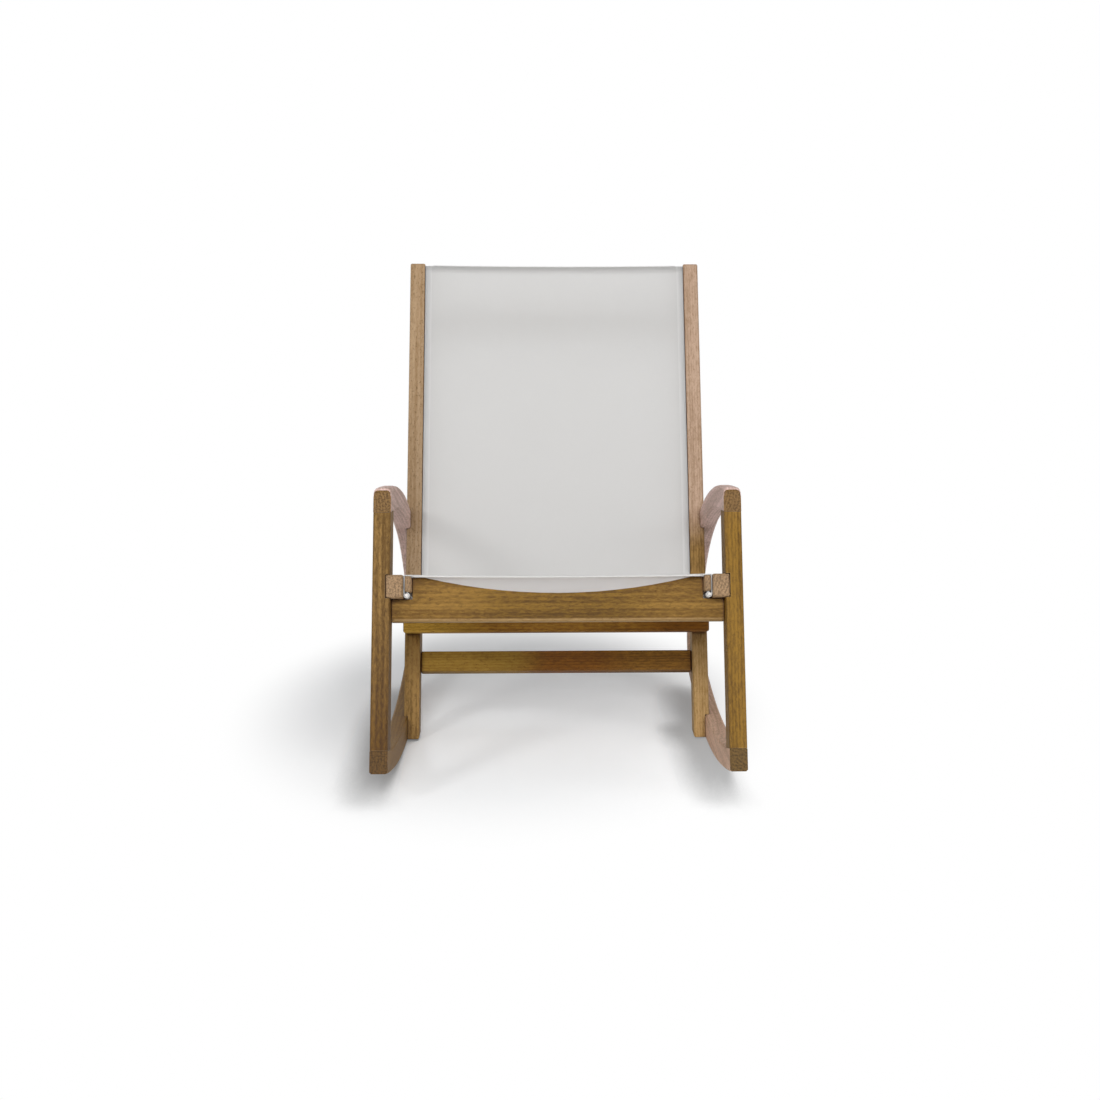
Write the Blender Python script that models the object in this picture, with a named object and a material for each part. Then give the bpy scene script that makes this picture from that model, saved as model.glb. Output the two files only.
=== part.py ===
"""Outdoor rocking chair: two wooden side loops, an inner frame of posts and rails, and a clamped sling.

Metres, +Z up, the front towards -Y. The side view is drawn from the toe of the rocker, as flat vectors
whose first number runs back and whose second number runs up from the floor.
"""

import math

import bmesh
import bpy
from mathutils import Vector

# Clearances
GAP = 0.0003                # between pieces that touch
HOLE_PLAY = 0.0003          # round a bolt, nut or screw in its hole
END_PLAY = 0.001            # past the end of a tenon, bolt or screw
CUT_PAST = 0.002            # how far a cutter runs past the face that it opens
EDGE_ROUND = 0.003          # softened edges of the wooden pieces
JOINT_ROUND = 0.0005        # edges of an arm or a rocker where the leg meets it
ROUND_STEPS = 3             # flats round a large round edge

# Side loops: front leg, arm, heel and rocker, all in one plane
OVERALL_WIDTH = 0.630
LOOP_THICKNESS = 0.030
ROCKER_RADIUS = 2.070
ROCKER_LOW_POINT = 0.505    # from the toe back to where the rocker meets the floor
ROCKER_FRONT_DEPTH = 0.038
ROCKER_REAR_DEPTH = 0.048
ROCKER_FACET = 0.030        # length of one flat along the rocker's round
HEEL_CENTRE = 0.856         # from the toe back to the middle of the heel's round
HEEL_RADIUS = 0.095
HEEL_STEPS = 10
LEG_LEAN = math.radians(20.6)
LEG_DEPTH = 0.060
ARM_HEIGHT = 0.5195         # top of the arm's front end above the floor
ARM_DEPTH = 0.041
ARM_TOP_ROUND = 0.008
ARM_FRONT_ROUND = 0.008     # upper edge of the arm's front end
ARM_SEAT_PAST = 0.015       # straight length of the arm behind the leg
ARM_FRONT_SLOPE = math.radians(4.5)
ARM_REAR_SLOPE = math.radians(88.0)
ARM_FRONT_PULL = 0.340      # how long the curve keeps its front slope
ARM_REAR_PULL = 0.196       # how long the curve keeps its rear slope
ARM_STEPS = 20
ARM_JOINT_STEP = 16         # the step of the curve where the arm ends and the heel begins

# Inner frame: posts, seat rails and cross pieces
HOUSING_DEPTH = 0.008       # how deep posts and rails are let into the loops
RAIL_THICKNESS = 0.030
POST_FOOT = 0.457           # from the toe back to the post's front face, at the floor
POST_RECLINE = math.radians(23.4)
POST_DEPTH = 0.048
POST_HEIGHT = 0.900
POST_FLOOR_CLEARANCE = 0.003
SEAT_FRONT_HEIGHT = 0.378
SEAT_SLOPE = math.radians(14.0)
SEAT_RAIL_DEPTH = 0.040
FRONT_RAIL_SETBACK = 0.028
FRONT_RAIL_THICKNESS = 0.022
FRONT_RAIL_HEIGHT = 0.0765
FRONT_RAIL_ROUND = 0.007    # lower front edge of the front rail
FRONT_RAIL_DROP = 0.003     # top of the front rail below the seat line
SCOOP_SHOULDER = 0.021      # flat top of the front rail on each side of its scoop
SCOOP_DEPTH = 0.027
SCOOP_STEPS = 14
REAR_BAR_DEPTH = 0.048
REAR_BAR_HEIGHT = 0.038
STRETCHER_HEIGHT = 0.139    # middle of the stretcher above the floor
STRETCHER_THICKNESS = 0.028
STRETCHER_DEPTH = 0.040
STRETCHER_SETBACK = 0.015
UPPER_BAR_DROP = 0.119      # middle of the upper bar below the post's top
UPPER_BAR_THICKNESS = 0.028
UPPER_BAR_DEPTH = 0.046

# Sling and its clamps
CLOTH_THICKNESS = 0.0016
CLOTH_PLAY = 0.0004         # on each side of the cloth in its slit, and round the rod in its sleeve
BATTEN_THICKNESS = 0.011
ROD_DIAMETER = 0.006
CORNER_RADIUS = 0.045
CORNER_PAST = 0.004         # from the sling's bend to the end of a batten
SLING_FRONT_INSET = 0.002
SLING_TOP_DROP = 0.006
FRONT_SAG = 0.002
SEAT_SAG = 0.010
TOP_SAG = 0.005
SEAT_ROWS = 5
CORNER_ROWS = 5
BACK_ROWS = 7
SLING_COLUMNS = 8
SLEEVE_STEPS = 6

# Tenons, bolts, nuts and screws
TENON_THICKNESS = 0.010
TENON_ROOT = 0.004          # how far a tenon's block runs back into its own piece
LEG_TENON_WIDTH = 0.036
LEG_TENON_LENGTH = 0.020
LOOSE_TENON_WIDTH = 0.022
LOOSE_TENON_LENGTH = 0.040
FRONT_RAIL_TENON_WIDTH = 0.020
FRONT_RAIL_TENON_LENGTH = 0.018
STRETCHER_TENON_WIDTH = 0.025
STRETCHER_TENON_LENGTH = 0.016
BOLT_RADIUS = 0.003
BOLT_HEAD_RADIUS = 0.007
BOLT_HEAD_HEIGHT = 0.005
HEAD_RECESS = 0.0005        # a bolt head or screw head below its surface
BOLT_PAST_NUT = 0.008
BOLT_SIDES = 12
NUT_RADIUS = 0.005
NUT_LENGTH = 0.014
ROCKER_BOLT_HEIGHT = 0.027
COACH_SCREW_BITE = 0.045    # how far a coach screw holds in the end of a seat rail
SCREW_RADIUS = 0.002
SCREW_HEAD_RADIUS = 0.004
SCREW_HEAD_HEIGHT = 0.0025
SCREW_SIDES = 6
SCREW_BITE = 0.016          # how far a screw holds in the second piece
ROD_SIDES = 8
SEAT_SCREW_COUNT = 2
SEAT_SCREW_END = 0.080      # from the end of a seat batten to its nearest screw
BACK_SCREW_COUNT = 3
BACK_SCREW_END = 0.036      # from the end of a back batten to its nearest screw

# Colours, roughness and metallic value of each finish
FINISHES = {
    "wood": ((0.330, 0.190, 0.075, 1.0), 0.55, 0.0),
    "sling_cloth": ((0.640, 0.630, 0.610, 1.0), 0.80, 0.0),
    "rod_plastic": ((0.800, 0.790, 0.760, 1.0), 0.45, 0.0),
    "steel": ((0.560, 0.560, 0.550, 1.0), 0.35, 1.0),
}

SIDES = (("left", -1.0), ("right", 1.0))
ACROSS = Vector((1.0, 0.0, 0.0))


# Flat directions and points of the side view

def sloping(angle):
    """Direction that runs back and falls by the angle."""
    return Vector((math.cos(angle), -math.sin(angle)))


def leaning(angle):
    """Direction that runs up and leans back by the angle."""
    return Vector((math.sin(angle), math.cos(angle)))


def meet(point, direction, other_point, other_direction):
    """Where two lines of the side view cross."""
    turned_direction = Vector((other_direction.y, -other_direction.x))
    reach = (other_point - point).dot(turned_direction) / direction.dot(turned_direction)
    return point + direction * reach


def at_height(point, direction, height):
    """The point of a line at a height above the floor."""
    return point + direction * ((height - point.y) / direction.y)


def solve(rule, low, high):
    """The angle between low and high where a rising rule passes zero."""
    for _ in range(50):
        middle = (low + high) / 2
        if rule(middle) < 0:
            low = middle
        else:
            high = middle
    return (low + high) / 2


LOOP_INNER = OVERALL_WIDTH / 2 - LOOP_THICKNESS
LOOP_MIDDLE = OVERALL_WIDTH / 2 - LOOP_THICKNESS / 2
HOUSING_FLOOR = LOOP_INNER + HOUSING_DEPTH
FRAME_OUTER = HOUSING_FLOOR - GAP
FRAME_INNER = FRAME_OUTER - RAIL_THICKNESS
FRAME_MIDDLE = FRAME_OUTER - RAIL_THICKNESS / 2
SLIT = CLOTH_THICKNESS + 2 * CLOTH_PLAY
SLIT_MIDDLE = FRAME_INNER - SLIT / 2
BATTEN_OUTER = FRAME_INNER - SLIT
BATTEN_INNER = BATTEN_OUTER - BATTEN_THICKNESS
BATTEN_DROP = CLOTH_THICKNESS + 2 * GAP
CLOTH_DROP = GAP + CLOTH_THICKNESS / 2
ROD_RADIUS = ROD_DIAMETER / 2
SLEEVE_RADIUS = ROD_RADIUS + CLOTH_PLAY + CLOTH_THICKNESS / 2
ROD_ACROSS = SLIT_MIDDLE - SLEEVE_RADIUS
SLEEVE_HEIGHT = 2 * SLEEVE_RADIUS + CLOTH_THICKNESS
ROD_DROP = SEAT_RAIL_DEPTH - GAP - SLEEVE_HEIGHT / 2
BATTEN_WIDTH = SEAT_RAIL_DEPTH - BATTEN_DROP - SLEEVE_HEIGHT - 2 * GAP

ROCKER_CENTRE = Vector((ROCKER_LOW_POINT, ROCKER_RADIUS))
TOE_ANGLE = -math.asin(ROCKER_LOW_POINT / ROCKER_RADIUS)
HEEL_ANGLE = math.asin((HEEL_CENTRE - ROCKER_LOW_POINT) / (ROCKER_RADIUS - HEEL_RADIUS))


def on_rocker(angle, radius):
    """A point at an angle behind the low point and a radius from the rocker's centre."""
    return ROCKER_CENTRE + Vector((math.sin(angle), -math.cos(angle))) * radius


def rocker_depth(angle):
    """Depth of the rocker, which grows from the toe to the heel."""
    share = (angle - TOE_ANGLE) / (HEEL_ANGLE - TOE_ANGLE)
    return ROCKER_FRONT_DEPTH + (ROCKER_REAR_DEPTH - ROCKER_FRONT_DEPTH) * share


def rocker_top(angle):
    """The upper edge of the rocker at an angle."""
    return on_rocker(angle, ROCKER_RADIUS - rocker_depth(angle))


def rocker_top_on(point, across):
    """Where the rocker's upper edge crosses the line through the point, square to the direction."""
    angle = solve(lambda turn: (rocker_top(turn) - point).dot(across), TOE_ANGLE, HEEL_ANGLE)
    return rocker_top(angle)


TOE = on_rocker(TOE_ANGLE, ROCKER_RADIUS)
HEEL_MIDDLE = on_rocker(HEEL_ANGLE, ROCKER_RADIUS - HEEL_RADIUS)
LEG_UP = leaning(LEG_LEAN)
LEG_BACK = sloping(LEG_LEAN)
LEG_REAR = TOE + LEG_BACK * LEG_DEPTH
ARM_FRONT = at_height(TOE, LEG_UP, ARM_HEIGHT)
ARM_RUN = sloping(ARM_FRONT_SLOPE)
ARM_SEAT_LENGTH = LEG_DEPTH / math.cos(LEG_LEAN - ARM_FRONT_SLOPE) + ARM_SEAT_PAST
POST_UP = leaning(POST_RECLINE)
POST_BACK = sloping(POST_RECLINE)
POST_FRONT = Vector((POST_FOOT, 0.0))
POST_TOP = at_height(POST_FRONT, POST_UP, POST_HEIGHT)
SEAT_BACK = sloping(SEAT_SLOPE)
SEAT_UP = leaning(SEAT_SLOPE)
SEAT_FRONT = at_height(TOE, LEG_UP, SEAT_FRONT_HEIGHT)
CORNER = meet(SEAT_FRONT, SEAT_BACK, POST_FRONT, POST_UP)
CORNER_TURN = math.pi / 2 + SEAT_SLOPE - POST_RECLINE
CORNER_TANGENT = CORNER_RADIUS * math.tan(CORNER_TURN / 2)
SEAT_CLAMP_END = CORNER - SEAT_BACK * (CORNER_TANGENT + CORNER_PAST)
BACK_CLAMP_START = CORNER + POST_UP * (CORNER_TANGENT + CORNER_PAST)
BACK_CLAMP_END = POST_TOP - POST_UP * SLING_TOP_DROP
OVERALL_DEPTH = HEEL_CENTRE + HEEL_RADIUS


# Meshes and objects

def clear_scene():
    for thing in list(bpy.data.objects):
        bpy.data.objects.remove(thing, do_unlink=True)


def make_finish(name):
    colour, roughness, metallic = FINISHES[name]
    finish = bpy.data.materials.new(name)
    finish.use_nodes = True
    shader = finish.node_tree.nodes["Principled BSDF"]
    shader.inputs["Base Color"].default_value = colour
    shader.inputs["Roughness"].default_value = roughness
    shader.inputs["Metallic"].default_value = metallic
    return finish


def place(spot, across):
    """A point of the side view, at a distance across the chair."""
    return Vector((across, spot.x, spot.y))


def flat(direction):
    """A direction of the side view, as a direction in space."""
    return Vector((0.0, direction.x, direction.y))


def add_object(name, shape, finish):
    mesh = bpy.data.meshes.new(name)
    bmesh.ops.recalc_face_normals(shape, faces=shape.faces)
    shape.to_mesh(mesh)
    shape.free()
    thing = bpy.data.objects.new(name, mesh)
    bpy.context.scene.collection.objects.link(thing)
    thing.parent = bpy.data.objects["chair_datum"]
    mesh.materials.append(bpy.data.materials[finish])
    mesh.shade_smooth()
    mesh.set_sharp_from_angle(angle=math.radians(40))
    return thing


def add_rings(shape, rings):
    """A closed body skinned over rings of points."""
    loops = [[shape.verts.new(point) for point in ring] for ring in rings]
    count = len(loops[0])
    for near, far in zip(loops, loops[1:]):
        for side in range(count):
            following = (side + 1) % count
            shape.faces.new((near[side], near[following], far[following], far[side]))
    shape.faces.new(list(reversed(loops[0])))
    shape.faces.new(loops[-1])


def soften(thing):
    """Rounds a piece's edges."""
    bevel = thing.modifiers.new("edges", "BEVEL")
    bevel.width = EDGE_ROUND
    bevel.segments = 2
    bevel.limit_method = "ANGLE"
    bevel.angle_limit = math.radians(40)
    return bevel


def soften_along(thing, direction):
    """Rounds only the edges that run along a direction."""
    soften(thing).limit_method = "WEIGHT"
    weights = thing.data.attributes.new("bevel_weight_edge", "FLOAT", "EDGE")
    for edge in thing.data.edges:
        near, far = [thing.data.vertices[end].co for end in edge.vertices]
        weights.data[edge.index].value = float(abs((far - near).normalized().dot(direction)) > 0.9)


def rounded_edge(radius):
    """Distances back from a face, and down from its upper edge, round that edge."""
    turns = [math.pi / 2 * step / ROUND_STEPS for step in range(ROUND_STEPS + 1)]
    return [(radius * (1 - math.cos(turn)), radius * (1 - math.sin(turn))) for turn in turns]


def bar(name, outline, near, far):
    """A straight piece: a side view outline, from one distance across the chair to another."""
    soften(block(name, outline, near, far))


def add_turned(shape, start, direction, profile, sides):
    """A turned body: a profile of distances along the direction and radii."""
    upright = direction.orthogonal().normalized()
    beside = direction.cross(upright)
    rings = []
    for distance, radius in profile:
        middle = start + direction * distance
        ring = []
        for side in range(sides):
            angle = 2 * math.pi * side / sides
            ring.append(middle + (upright * math.cos(angle) + beside * math.sin(angle)) * radius)
        rings.append(ring)
    add_rings(shape, rings)


def join_or_cut(thing, tool, operation):
    """Joins a hidden block to a piece, or takes it out of the piece."""
    tool.hide_render = True
    tool.display_type = "WIRE"
    boolean = thing.modifiers.new(tool.name, "BOOLEAN")
    boolean.operation = operation
    boolean.solver = "EXACT"
    boolean.object = tool


def block(name, outline, near, far):
    """A plain block: a side view outline, from one distance across the chair to another."""
    shape = bmesh.new()
    add_rings(shape, [[place(spot, across) for spot in outline] for across in (near, far)])
    return add_object(name, shape, "wood")


def cut_block(piece, label, outline, near, far):
    tool = block(f"{piece}_{label}_cutter", outline, near, far)
    join_or_cut(bpy.data.objects[piece], tool, "DIFFERENCE")


def join_block(piece, label, outline, near, far):
    tool = block(f"{piece}_{label}_block", outline, near, far)
    join_or_cut(bpy.data.objects[piece], tool, "UNION")


def rectangle(middle, way, start, end, width):
    """An outline along a direction of the side view, from start to end of it."""
    beside = Vector((way.y, -way.x)) * (width / 2)
    near = middle + way * start
    far = middle + way * end
    return [near - beside, far - beside, far + beside, near + beside]


# Fasteners: each one is a solid of its own, and leaves holes to be cut in the pieces that it goes through

class Hardware:
    def __init__(self):
        self.holes = {}

    def add_solid(self, name, start, direction, profile, sides):
        shape = bmesh.new()
        add_turned(shape, start, direction, profile, sides)
        add_object(name, shape, "steel")

    def add_hole(self, piece, layer, start, direction, profile, sides):
        self.holes.setdefault((piece, layer), []).append((start, direction, profile, sides))

    def headed(self, name, start, direction, length, head, radius, sides, pieces):
        """A bolt or screw from the surface over its head, through the pieces."""
        head_radius, head_height = head
        neck = HEAD_RECESS + head_height
        profile = [(HEAD_RECESS, head_radius), (neck, head_radius), (neck, radius), (length, radius)]
        self.add_solid(name, start, direction, profile, sides)
        wide = head_radius + HOLE_PLAY
        narrow = radius + HOLE_PLAY
        hole = [(-CUT_PAST, wide), (neck + GAP, wide), (neck + GAP, narrow), (length + END_PLAY, narrow)]
        for piece in pieces:
            self.add_hole(piece, "shank", start, direction, hole, sides)

    def screw(self, name, start, direction, through, pieces):
        head = (SCREW_HEAD_RADIUS, SCREW_HEAD_HEIGHT)
        self.headed(name, start, direction, through + SCREW_BITE, head, SCREW_RADIUS, SCREW_SIDES, pieces)

    def coach_screw(self, name, start, direction, through, pieces):
        head = (BOLT_HEAD_RADIUS, BOLT_HEAD_HEIGHT)
        length = through + COACH_SCREW_BITE
        self.headed(name, start, direction, length, head, BOLT_RADIUS, BOLT_SIDES, pieces)

    def bolt(self, name, start, direction, to_nut, nut_way, nut_depth, pieces):
        """A bolt and its barrel nut, which goes into the last piece from the face in the nut's way."""
        nut = f"{name}_nut"
        middle = start + direction * to_nut
        half = NUT_LENGTH / 2
        self.add_solid(nut, middle, nut_way, [(-half, NUT_RADIUS), (half, NUT_RADIUS)], BOLT_SIDES)
        radius = NUT_RADIUS + HOLE_PLAY
        hole = [(-half - GAP, radius), (nut_depth + CUT_PAST, radius)]
        self.add_hole(pieces[-1], "nut", middle, nut_way, hole, BOLT_SIDES)
        head = (BOLT_HEAD_RADIUS, BOLT_HEAD_HEIGHT)
        length = to_nut + BOLT_PAST_NUT
        self.headed(name, start, direction, length, head, BOLT_RADIUS, BOLT_SIDES, pieces + [nut])

    def cut_holes(self):
        for (piece, layer), bodies in self.holes.items():
            shape = bmesh.new()
            for body in bodies:
                add_turned(shape, *body)
            tool = add_object(f"{piece}_{layer}_holes", shape, "steel")
            join_or_cut(bpy.data.objects[piece], tool, "DIFFERENCE")


# Side loops

def corner_points(corner, sign, inward, radius, steps):
    """Round corner of a section, from its side to its edge or back."""
    turns = [math.pi / 2 * step / steps for step in range(steps + 1)]
    return [
        (
            corner[0] - sign * radius * (1 - math.cos(turn)),
            corner[1] + inward * radius * (1 - math.sin(turn)),
        )
        for turn in turns
    ]


def section(depth, outer_round, inner_round, steps):
    """Section of a loop: distance across it and depth in from its outer edge."""
    half = LOOP_THICKNESS / 2
    outer_right = corner_points((half, 0.0), 1, 1, outer_round, steps)
    outer_left = list(reversed(corner_points((-half, 0.0), -1, 1, outer_round, steps)))
    inner_left = corner_points((-half, depth), -1, -1, inner_round, 1)
    inner_right = list(reversed(corner_points((half, depth), 1, -1, inner_round, 1)))
    return outer_right + outer_left + inner_left + inner_right


def loop_ring(sign, spot, heading, depth, outer_round, inner_round, steps):
    """Section of a loop, square to its heading at a spot on its outer edge."""
    inward = Vector((heading.y, -heading.x))
    middle = sign * LOOP_MIDDLE
    return [
        place(spot + inward * deep, middle + across)
        for across, deep in section(depth, outer_round, inner_round, steps)
    ]


def trim_to_leg_front(ring, heading, back):
    """Slides a ring's points along the heading onto a plane at a distance behind the leg's front face."""
    way = flat(heading)
    square = flat(LEG_BACK)
    toe = place(TOE + LEG_BACK * back, 0.0)
    return [point - way * ((point - toe).dot(square) / way.dot(square)) for point in ring]


def arm_curve():
    """Spots and headings along the curved part of the arm's top, down to the heel's round."""
    start = ARM_FRONT + ARM_RUN * ARM_SEAT_LENGTH
    end = HEEL_MIDDLE + leaning(ARM_REAR_SLOPE) * HEEL_RADIUS
    first = start + ARM_RUN * ARM_FRONT_PULL
    second = end - sloping(ARM_REAR_SLOPE) * ARM_REAR_PULL
    curve = []
    for step in range(ARM_STEPS + 1):
        t = step / ARM_STEPS
        u = 1 - t
        spot = start * u**3 + first * (3 * u * u * t) + second * (3 * u * t * t) + end * t**3
        heading = (first - start) * (u * u) + (second - first) * (2 * u * t) + (end - second) * (t * t)
        curve.append((spot, heading.normalized()))
    return curve


def make_arm(name, sign):
    rings = []
    for back, drop in rounded_edge(ARM_FRONT_ROUND):
        spot = ARM_FRONT - leaning(ARM_FRONT_SLOPE) * drop
        ring = loop_ring(sign, spot, ARM_RUN, ARM_DEPTH - drop, ARM_TOP_ROUND, JOINT_ROUND, ROUND_STEPS)
        rings.append(trim_to_leg_front(ring, ARM_RUN, back))
    curve = arm_curve()[: ARM_JOINT_STEP + 1]
    last_spot, last_heading = curve[-1]
    curve[-1] = (last_spot - last_heading * (GAP / 2), last_heading)
    for step, (spot, heading) in enumerate(curve):
        inner_round = EDGE_ROUND if step else JOINT_ROUND
        rings.append(loop_ring(sign, spot, heading, ARM_DEPTH, ARM_TOP_ROUND, inner_round, ROUND_STEPS))
    shape = bmesh.new()
    add_rings(shape, rings)
    add_object(f"{name}_arm", shape, "wood")
    housing = [
        POST_FRONT - POST_BACK * GAP,
        POST_TOP - POST_BACK * GAP,
        POST_TOP + POST_BACK * (POST_DEPTH + GAP),
        POST_FRONT + POST_BACK * (POST_DEPTH + GAP),
    ]
    cut_block(f"{name}_arm", "housing", housing, sign * (LOOP_INNER - CUT_PAST), sign * HOUSING_FLOOR)


def make_heel(name, sign):
    rings = []
    curve = arm_curve()[ARM_JOINT_STEP:]
    first_spot, first_heading = curve[0]
    curve[0] = (first_spot + first_heading * (GAP / 2), first_heading)
    for spot, heading in curve:
        rings.append(loop_ring(sign, spot, heading, ARM_DEPTH, ARM_TOP_ROUND, EDGE_ROUND, ROUND_STEPS))
    end_slope = math.pi - HEEL_ANGLE
    for step in range(1, HEEL_STEPS + 1):
        share = step / HEEL_STEPS
        slope = ARM_REAR_SLOPE + (end_slope - ARM_REAR_SLOPE) * share
        spot = HEEL_MIDDLE + leaning(slope) * HEEL_RADIUS
        depth = ARM_DEPTH + (ROCKER_REAR_DEPTH - ARM_DEPTH) * share
        outer_round = ARM_TOP_ROUND + (EDGE_ROUND - ARM_TOP_ROUND) * share
        heading = sloping(slope)
        if step == HEEL_STEPS:
            spot = spot - heading * (GAP / 2)
        rings.append(loop_ring(sign, spot, heading, depth, outer_round, EDGE_ROUND, ROUND_STEPS))
    shape = bmesh.new()
    add_rings(shape, rings)
    add_object(f"{name}_heel", shape, "wood")


def make_rocker(name, sign):
    turn = ROCKER_FACET / ROCKER_RADIUS
    corner_radius = ROCKER_RADIUS / math.cos(turn / 2)
    stations = [(HEEL_ANGLE - GAP / 2 / ROCKER_RADIUS, ROCKER_RADIUS)]
    step = math.floor(HEEL_ANGLE / turn - 0.75)
    while (step + 0.5) * turn > TOE_ANGLE + turn / 4:
        stations.append(((step + 0.5) * turn, corner_radius))
        step -= 1
    stations.append((TOE_ANGLE, ROCKER_RADIUS))
    rings = []
    for angle, radius in stations:
        heading = sloping(math.pi - angle)
        spot = on_rocker(angle, radius)
        under_leg = (rocker_top(angle) - LEG_REAR).dot(LEG_BACK) < 0
        inner_round = JOINT_ROUND if under_leg else EDGE_ROUND
        rings.append(loop_ring(sign, spot, heading, rocker_depth(angle), EDGE_ROUND, inner_round, 1))
    rings[-1] = trim_to_leg_front(rings[-1], sloping(math.pi - TOE_ANGLE), 0.0)
    shape = bmesh.new()
    add_rings(shape, rings)
    add_object(f"{name}_rocker", shape, "wood")


def leg_top_line():
    """A spot on the line where the leg meets the underside of the arm."""
    return ARM_FRONT - leaning(ARM_FRONT_SLOPE) * ARM_DEPTH


def make_leg(name, sign):
    top = leg_top_line() - leaning(ARM_FRONT_SLOPE) * GAP
    outline = [
        rocker_top_on(TOE, LEG_BACK) + LEG_UP * GAP,
        rocker_top_on(LEG_REAR, LEG_BACK) + LEG_UP * GAP,
        meet(LEG_REAR, LEG_UP, top, ARM_RUN),
        meet(TOE, LEG_UP, top, ARM_RUN),
    ]
    leg = block(f"{name}_front_leg", outline, sign * LOOP_INNER, sign * OVERALL_WIDTH / 2)
    soften_along(leg, flat(LEG_UP))
    past = LEG_DEPTH
    lower = SEAT_FRONT - SEAT_UP * (SEAT_RAIL_DEPTH + GAP)
    upper = SEAT_FRONT + SEAT_UP * GAP
    housing = [
        lower - SEAT_BACK * past,
        lower + SEAT_BACK * 2 * past,
        upper + SEAT_BACK * 2 * past,
        upper - SEAT_BACK * past,
    ]
    cut_block(f"{name}_front_leg", "housing", housing, sign * (LOOP_INNER - CUT_PAST), sign * HOUSING_FLOOR)


# Inner frame

def make_post(name, sign):
    floor_line = Vector((0.0, POST_FLOOR_CLEARANCE))
    level = Vector((1.0, 0.0))
    rear = POST_FRONT + POST_BACK * POST_DEPTH
    outline = [
        meet(POST_FRONT, POST_UP, floor_line, level),
        meet(rear, POST_UP, floor_line, level),
        POST_TOP + POST_BACK * POST_DEPTH,
        POST_TOP,
    ]
    bar(f"{name}_back_post", outline, sign * FRAME_INNER, sign * FRAME_OUTER)
    shoulder_front = rocker_top_on(POST_FRONT, POST_BACK) + POST_UP * GAP
    shoulder_rear = rocker_top_on(rear, POST_BACK) + POST_UP * GAP
    along = shoulder_rear - shoulder_front
    drop = POST_UP * (ROCKER_REAR_DEPTH * 2)
    notch = [
        shoulder_front - along - drop,
        shoulder_rear + along - drop,
        shoulder_rear + along,
        shoulder_front - along,
    ]
    cut_block(f"{name}_back_post", "notch", notch, sign * (LOOP_INNER - GAP), sign * (FRAME_OUTER + CUT_PAST))


def make_seat_rail(name, sign):
    lower = SEAT_FRONT - SEAT_UP * SEAT_RAIL_DEPTH
    post_line = POST_FRONT - POST_BACK * GAP
    outline = [
        meet(lower, SEAT_BACK, TOE, LEG_UP),
        meet(lower, SEAT_BACK, post_line, POST_UP),
        meet(SEAT_FRONT, SEAT_BACK, post_line, POST_UP),
        SEAT_FRONT,
    ]
    bar(f"{name}_seat_rail", outline, sign * FRAME_INNER, sign * FRAME_OUTER)


def front_rail_outline(lift):
    """Front view of the front rail, its lower edge lifted: notched for the seat rails, scooped in an arc."""
    top = -FRONT_RAIL_DROP
    bottom = top - FRONT_RAIL_HEIGHT + lift
    end = LOOP_INNER - GAP
    notch_floor = -SEAT_RAIL_DEPTH - GAP
    notch_side = BATTEN_INNER - GAP
    half = notch_side - SCOOP_SHOULDER
    radius = (half**2 + SCOOP_DEPTH**2) / (2 * SCOOP_DEPTH)
    swing = math.asin(half / radius)
    scoop = []
    for step in range(SCOOP_STEPS + 1):
        angle = swing * (1 - 2 * step / SCOOP_STEPS)
        scoop.append((radius * math.sin(angle), top - SCOOP_DEPTH + radius * (1 - math.cos(angle))))
    right = [(end, bottom), (end, notch_floor), (notch_side, notch_floor), (notch_side, top)]
    left = [(-across, height) for across, height in reversed(right)]
    return right + scoop + left


def make_front_rail():
    """The rail between the legs, its lower front edge rounded."""
    rings = []
    for back, lift in rounded_edge(FRONT_RAIL_ROUND) + [(FRONT_RAIL_THICKNESS, 0.0)]:
        origin = SEAT_FRONT + SEAT_BACK * (FRONT_RAIL_SETBACK + back)
        outline = front_rail_outline(lift)
        rings.append([place(origin + SEAT_UP * height, across) for across, height in outline])
    shape = bmesh.new()
    add_rings(shape, rings)
    soften(add_object("front_rail", shape, "wood"))


def rear_bar_corner():
    """Lower rear edge of the rear seat bar, where it meets the posts."""
    lower = SEAT_FRONT - SEAT_UP * (SEAT_RAIL_DEPTH + GAP + REAR_BAR_HEIGHT)
    return meet(lower, SEAT_BACK, POST_FRONT - POST_BACK * GAP, POST_UP)


def make_rear_bar():
    corner = rear_bar_corner()
    rise = SEAT_UP * REAR_BAR_HEIGHT
    reach = SEAT_BACK * REAR_BAR_DEPTH
    outline = [corner - reach, corner, corner + rise, corner - reach + rise]
    bar("rear_seat_bar", outline, -FRAME_OUTER, FRAME_OUTER)


def stretcher_middle():
    """Middle of the stretcher's front face."""
    return at_height(POST_FRONT + POST_BACK * STRETCHER_SETBACK, POST_UP, STRETCHER_HEIGHT)


def make_stretcher():
    middle = stretcher_middle()
    half = POST_UP * (STRETCHER_DEPTH / 2)
    reach = POST_BACK * STRETCHER_THICKNESS
    outline = [middle - half, middle + reach - half, middle + reach + half, middle + half]
    bar("lower_stretcher", outline, -FRAME_INNER + GAP, FRAME_INNER - GAP)


def upper_bar_middle():
    """Middle of the upper bar's front face, against the rear of the posts."""
    return POST_TOP - POST_UP * UPPER_BAR_DROP + POST_BACK * (POST_DEPTH + GAP)


def make_upper_bar():
    middle = upper_bar_middle()
    half = POST_UP * (UPPER_BAR_DEPTH / 2)
    reach = POST_BACK * UPPER_BAR_THICKNESS
    outline = [middle - half, middle + reach - half, middle + reach + half, middle + half]
    bar("upper_back_bar", outline, -FRAME_OUTER, FRAME_OUTER)


# Sling, battens and rods

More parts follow.
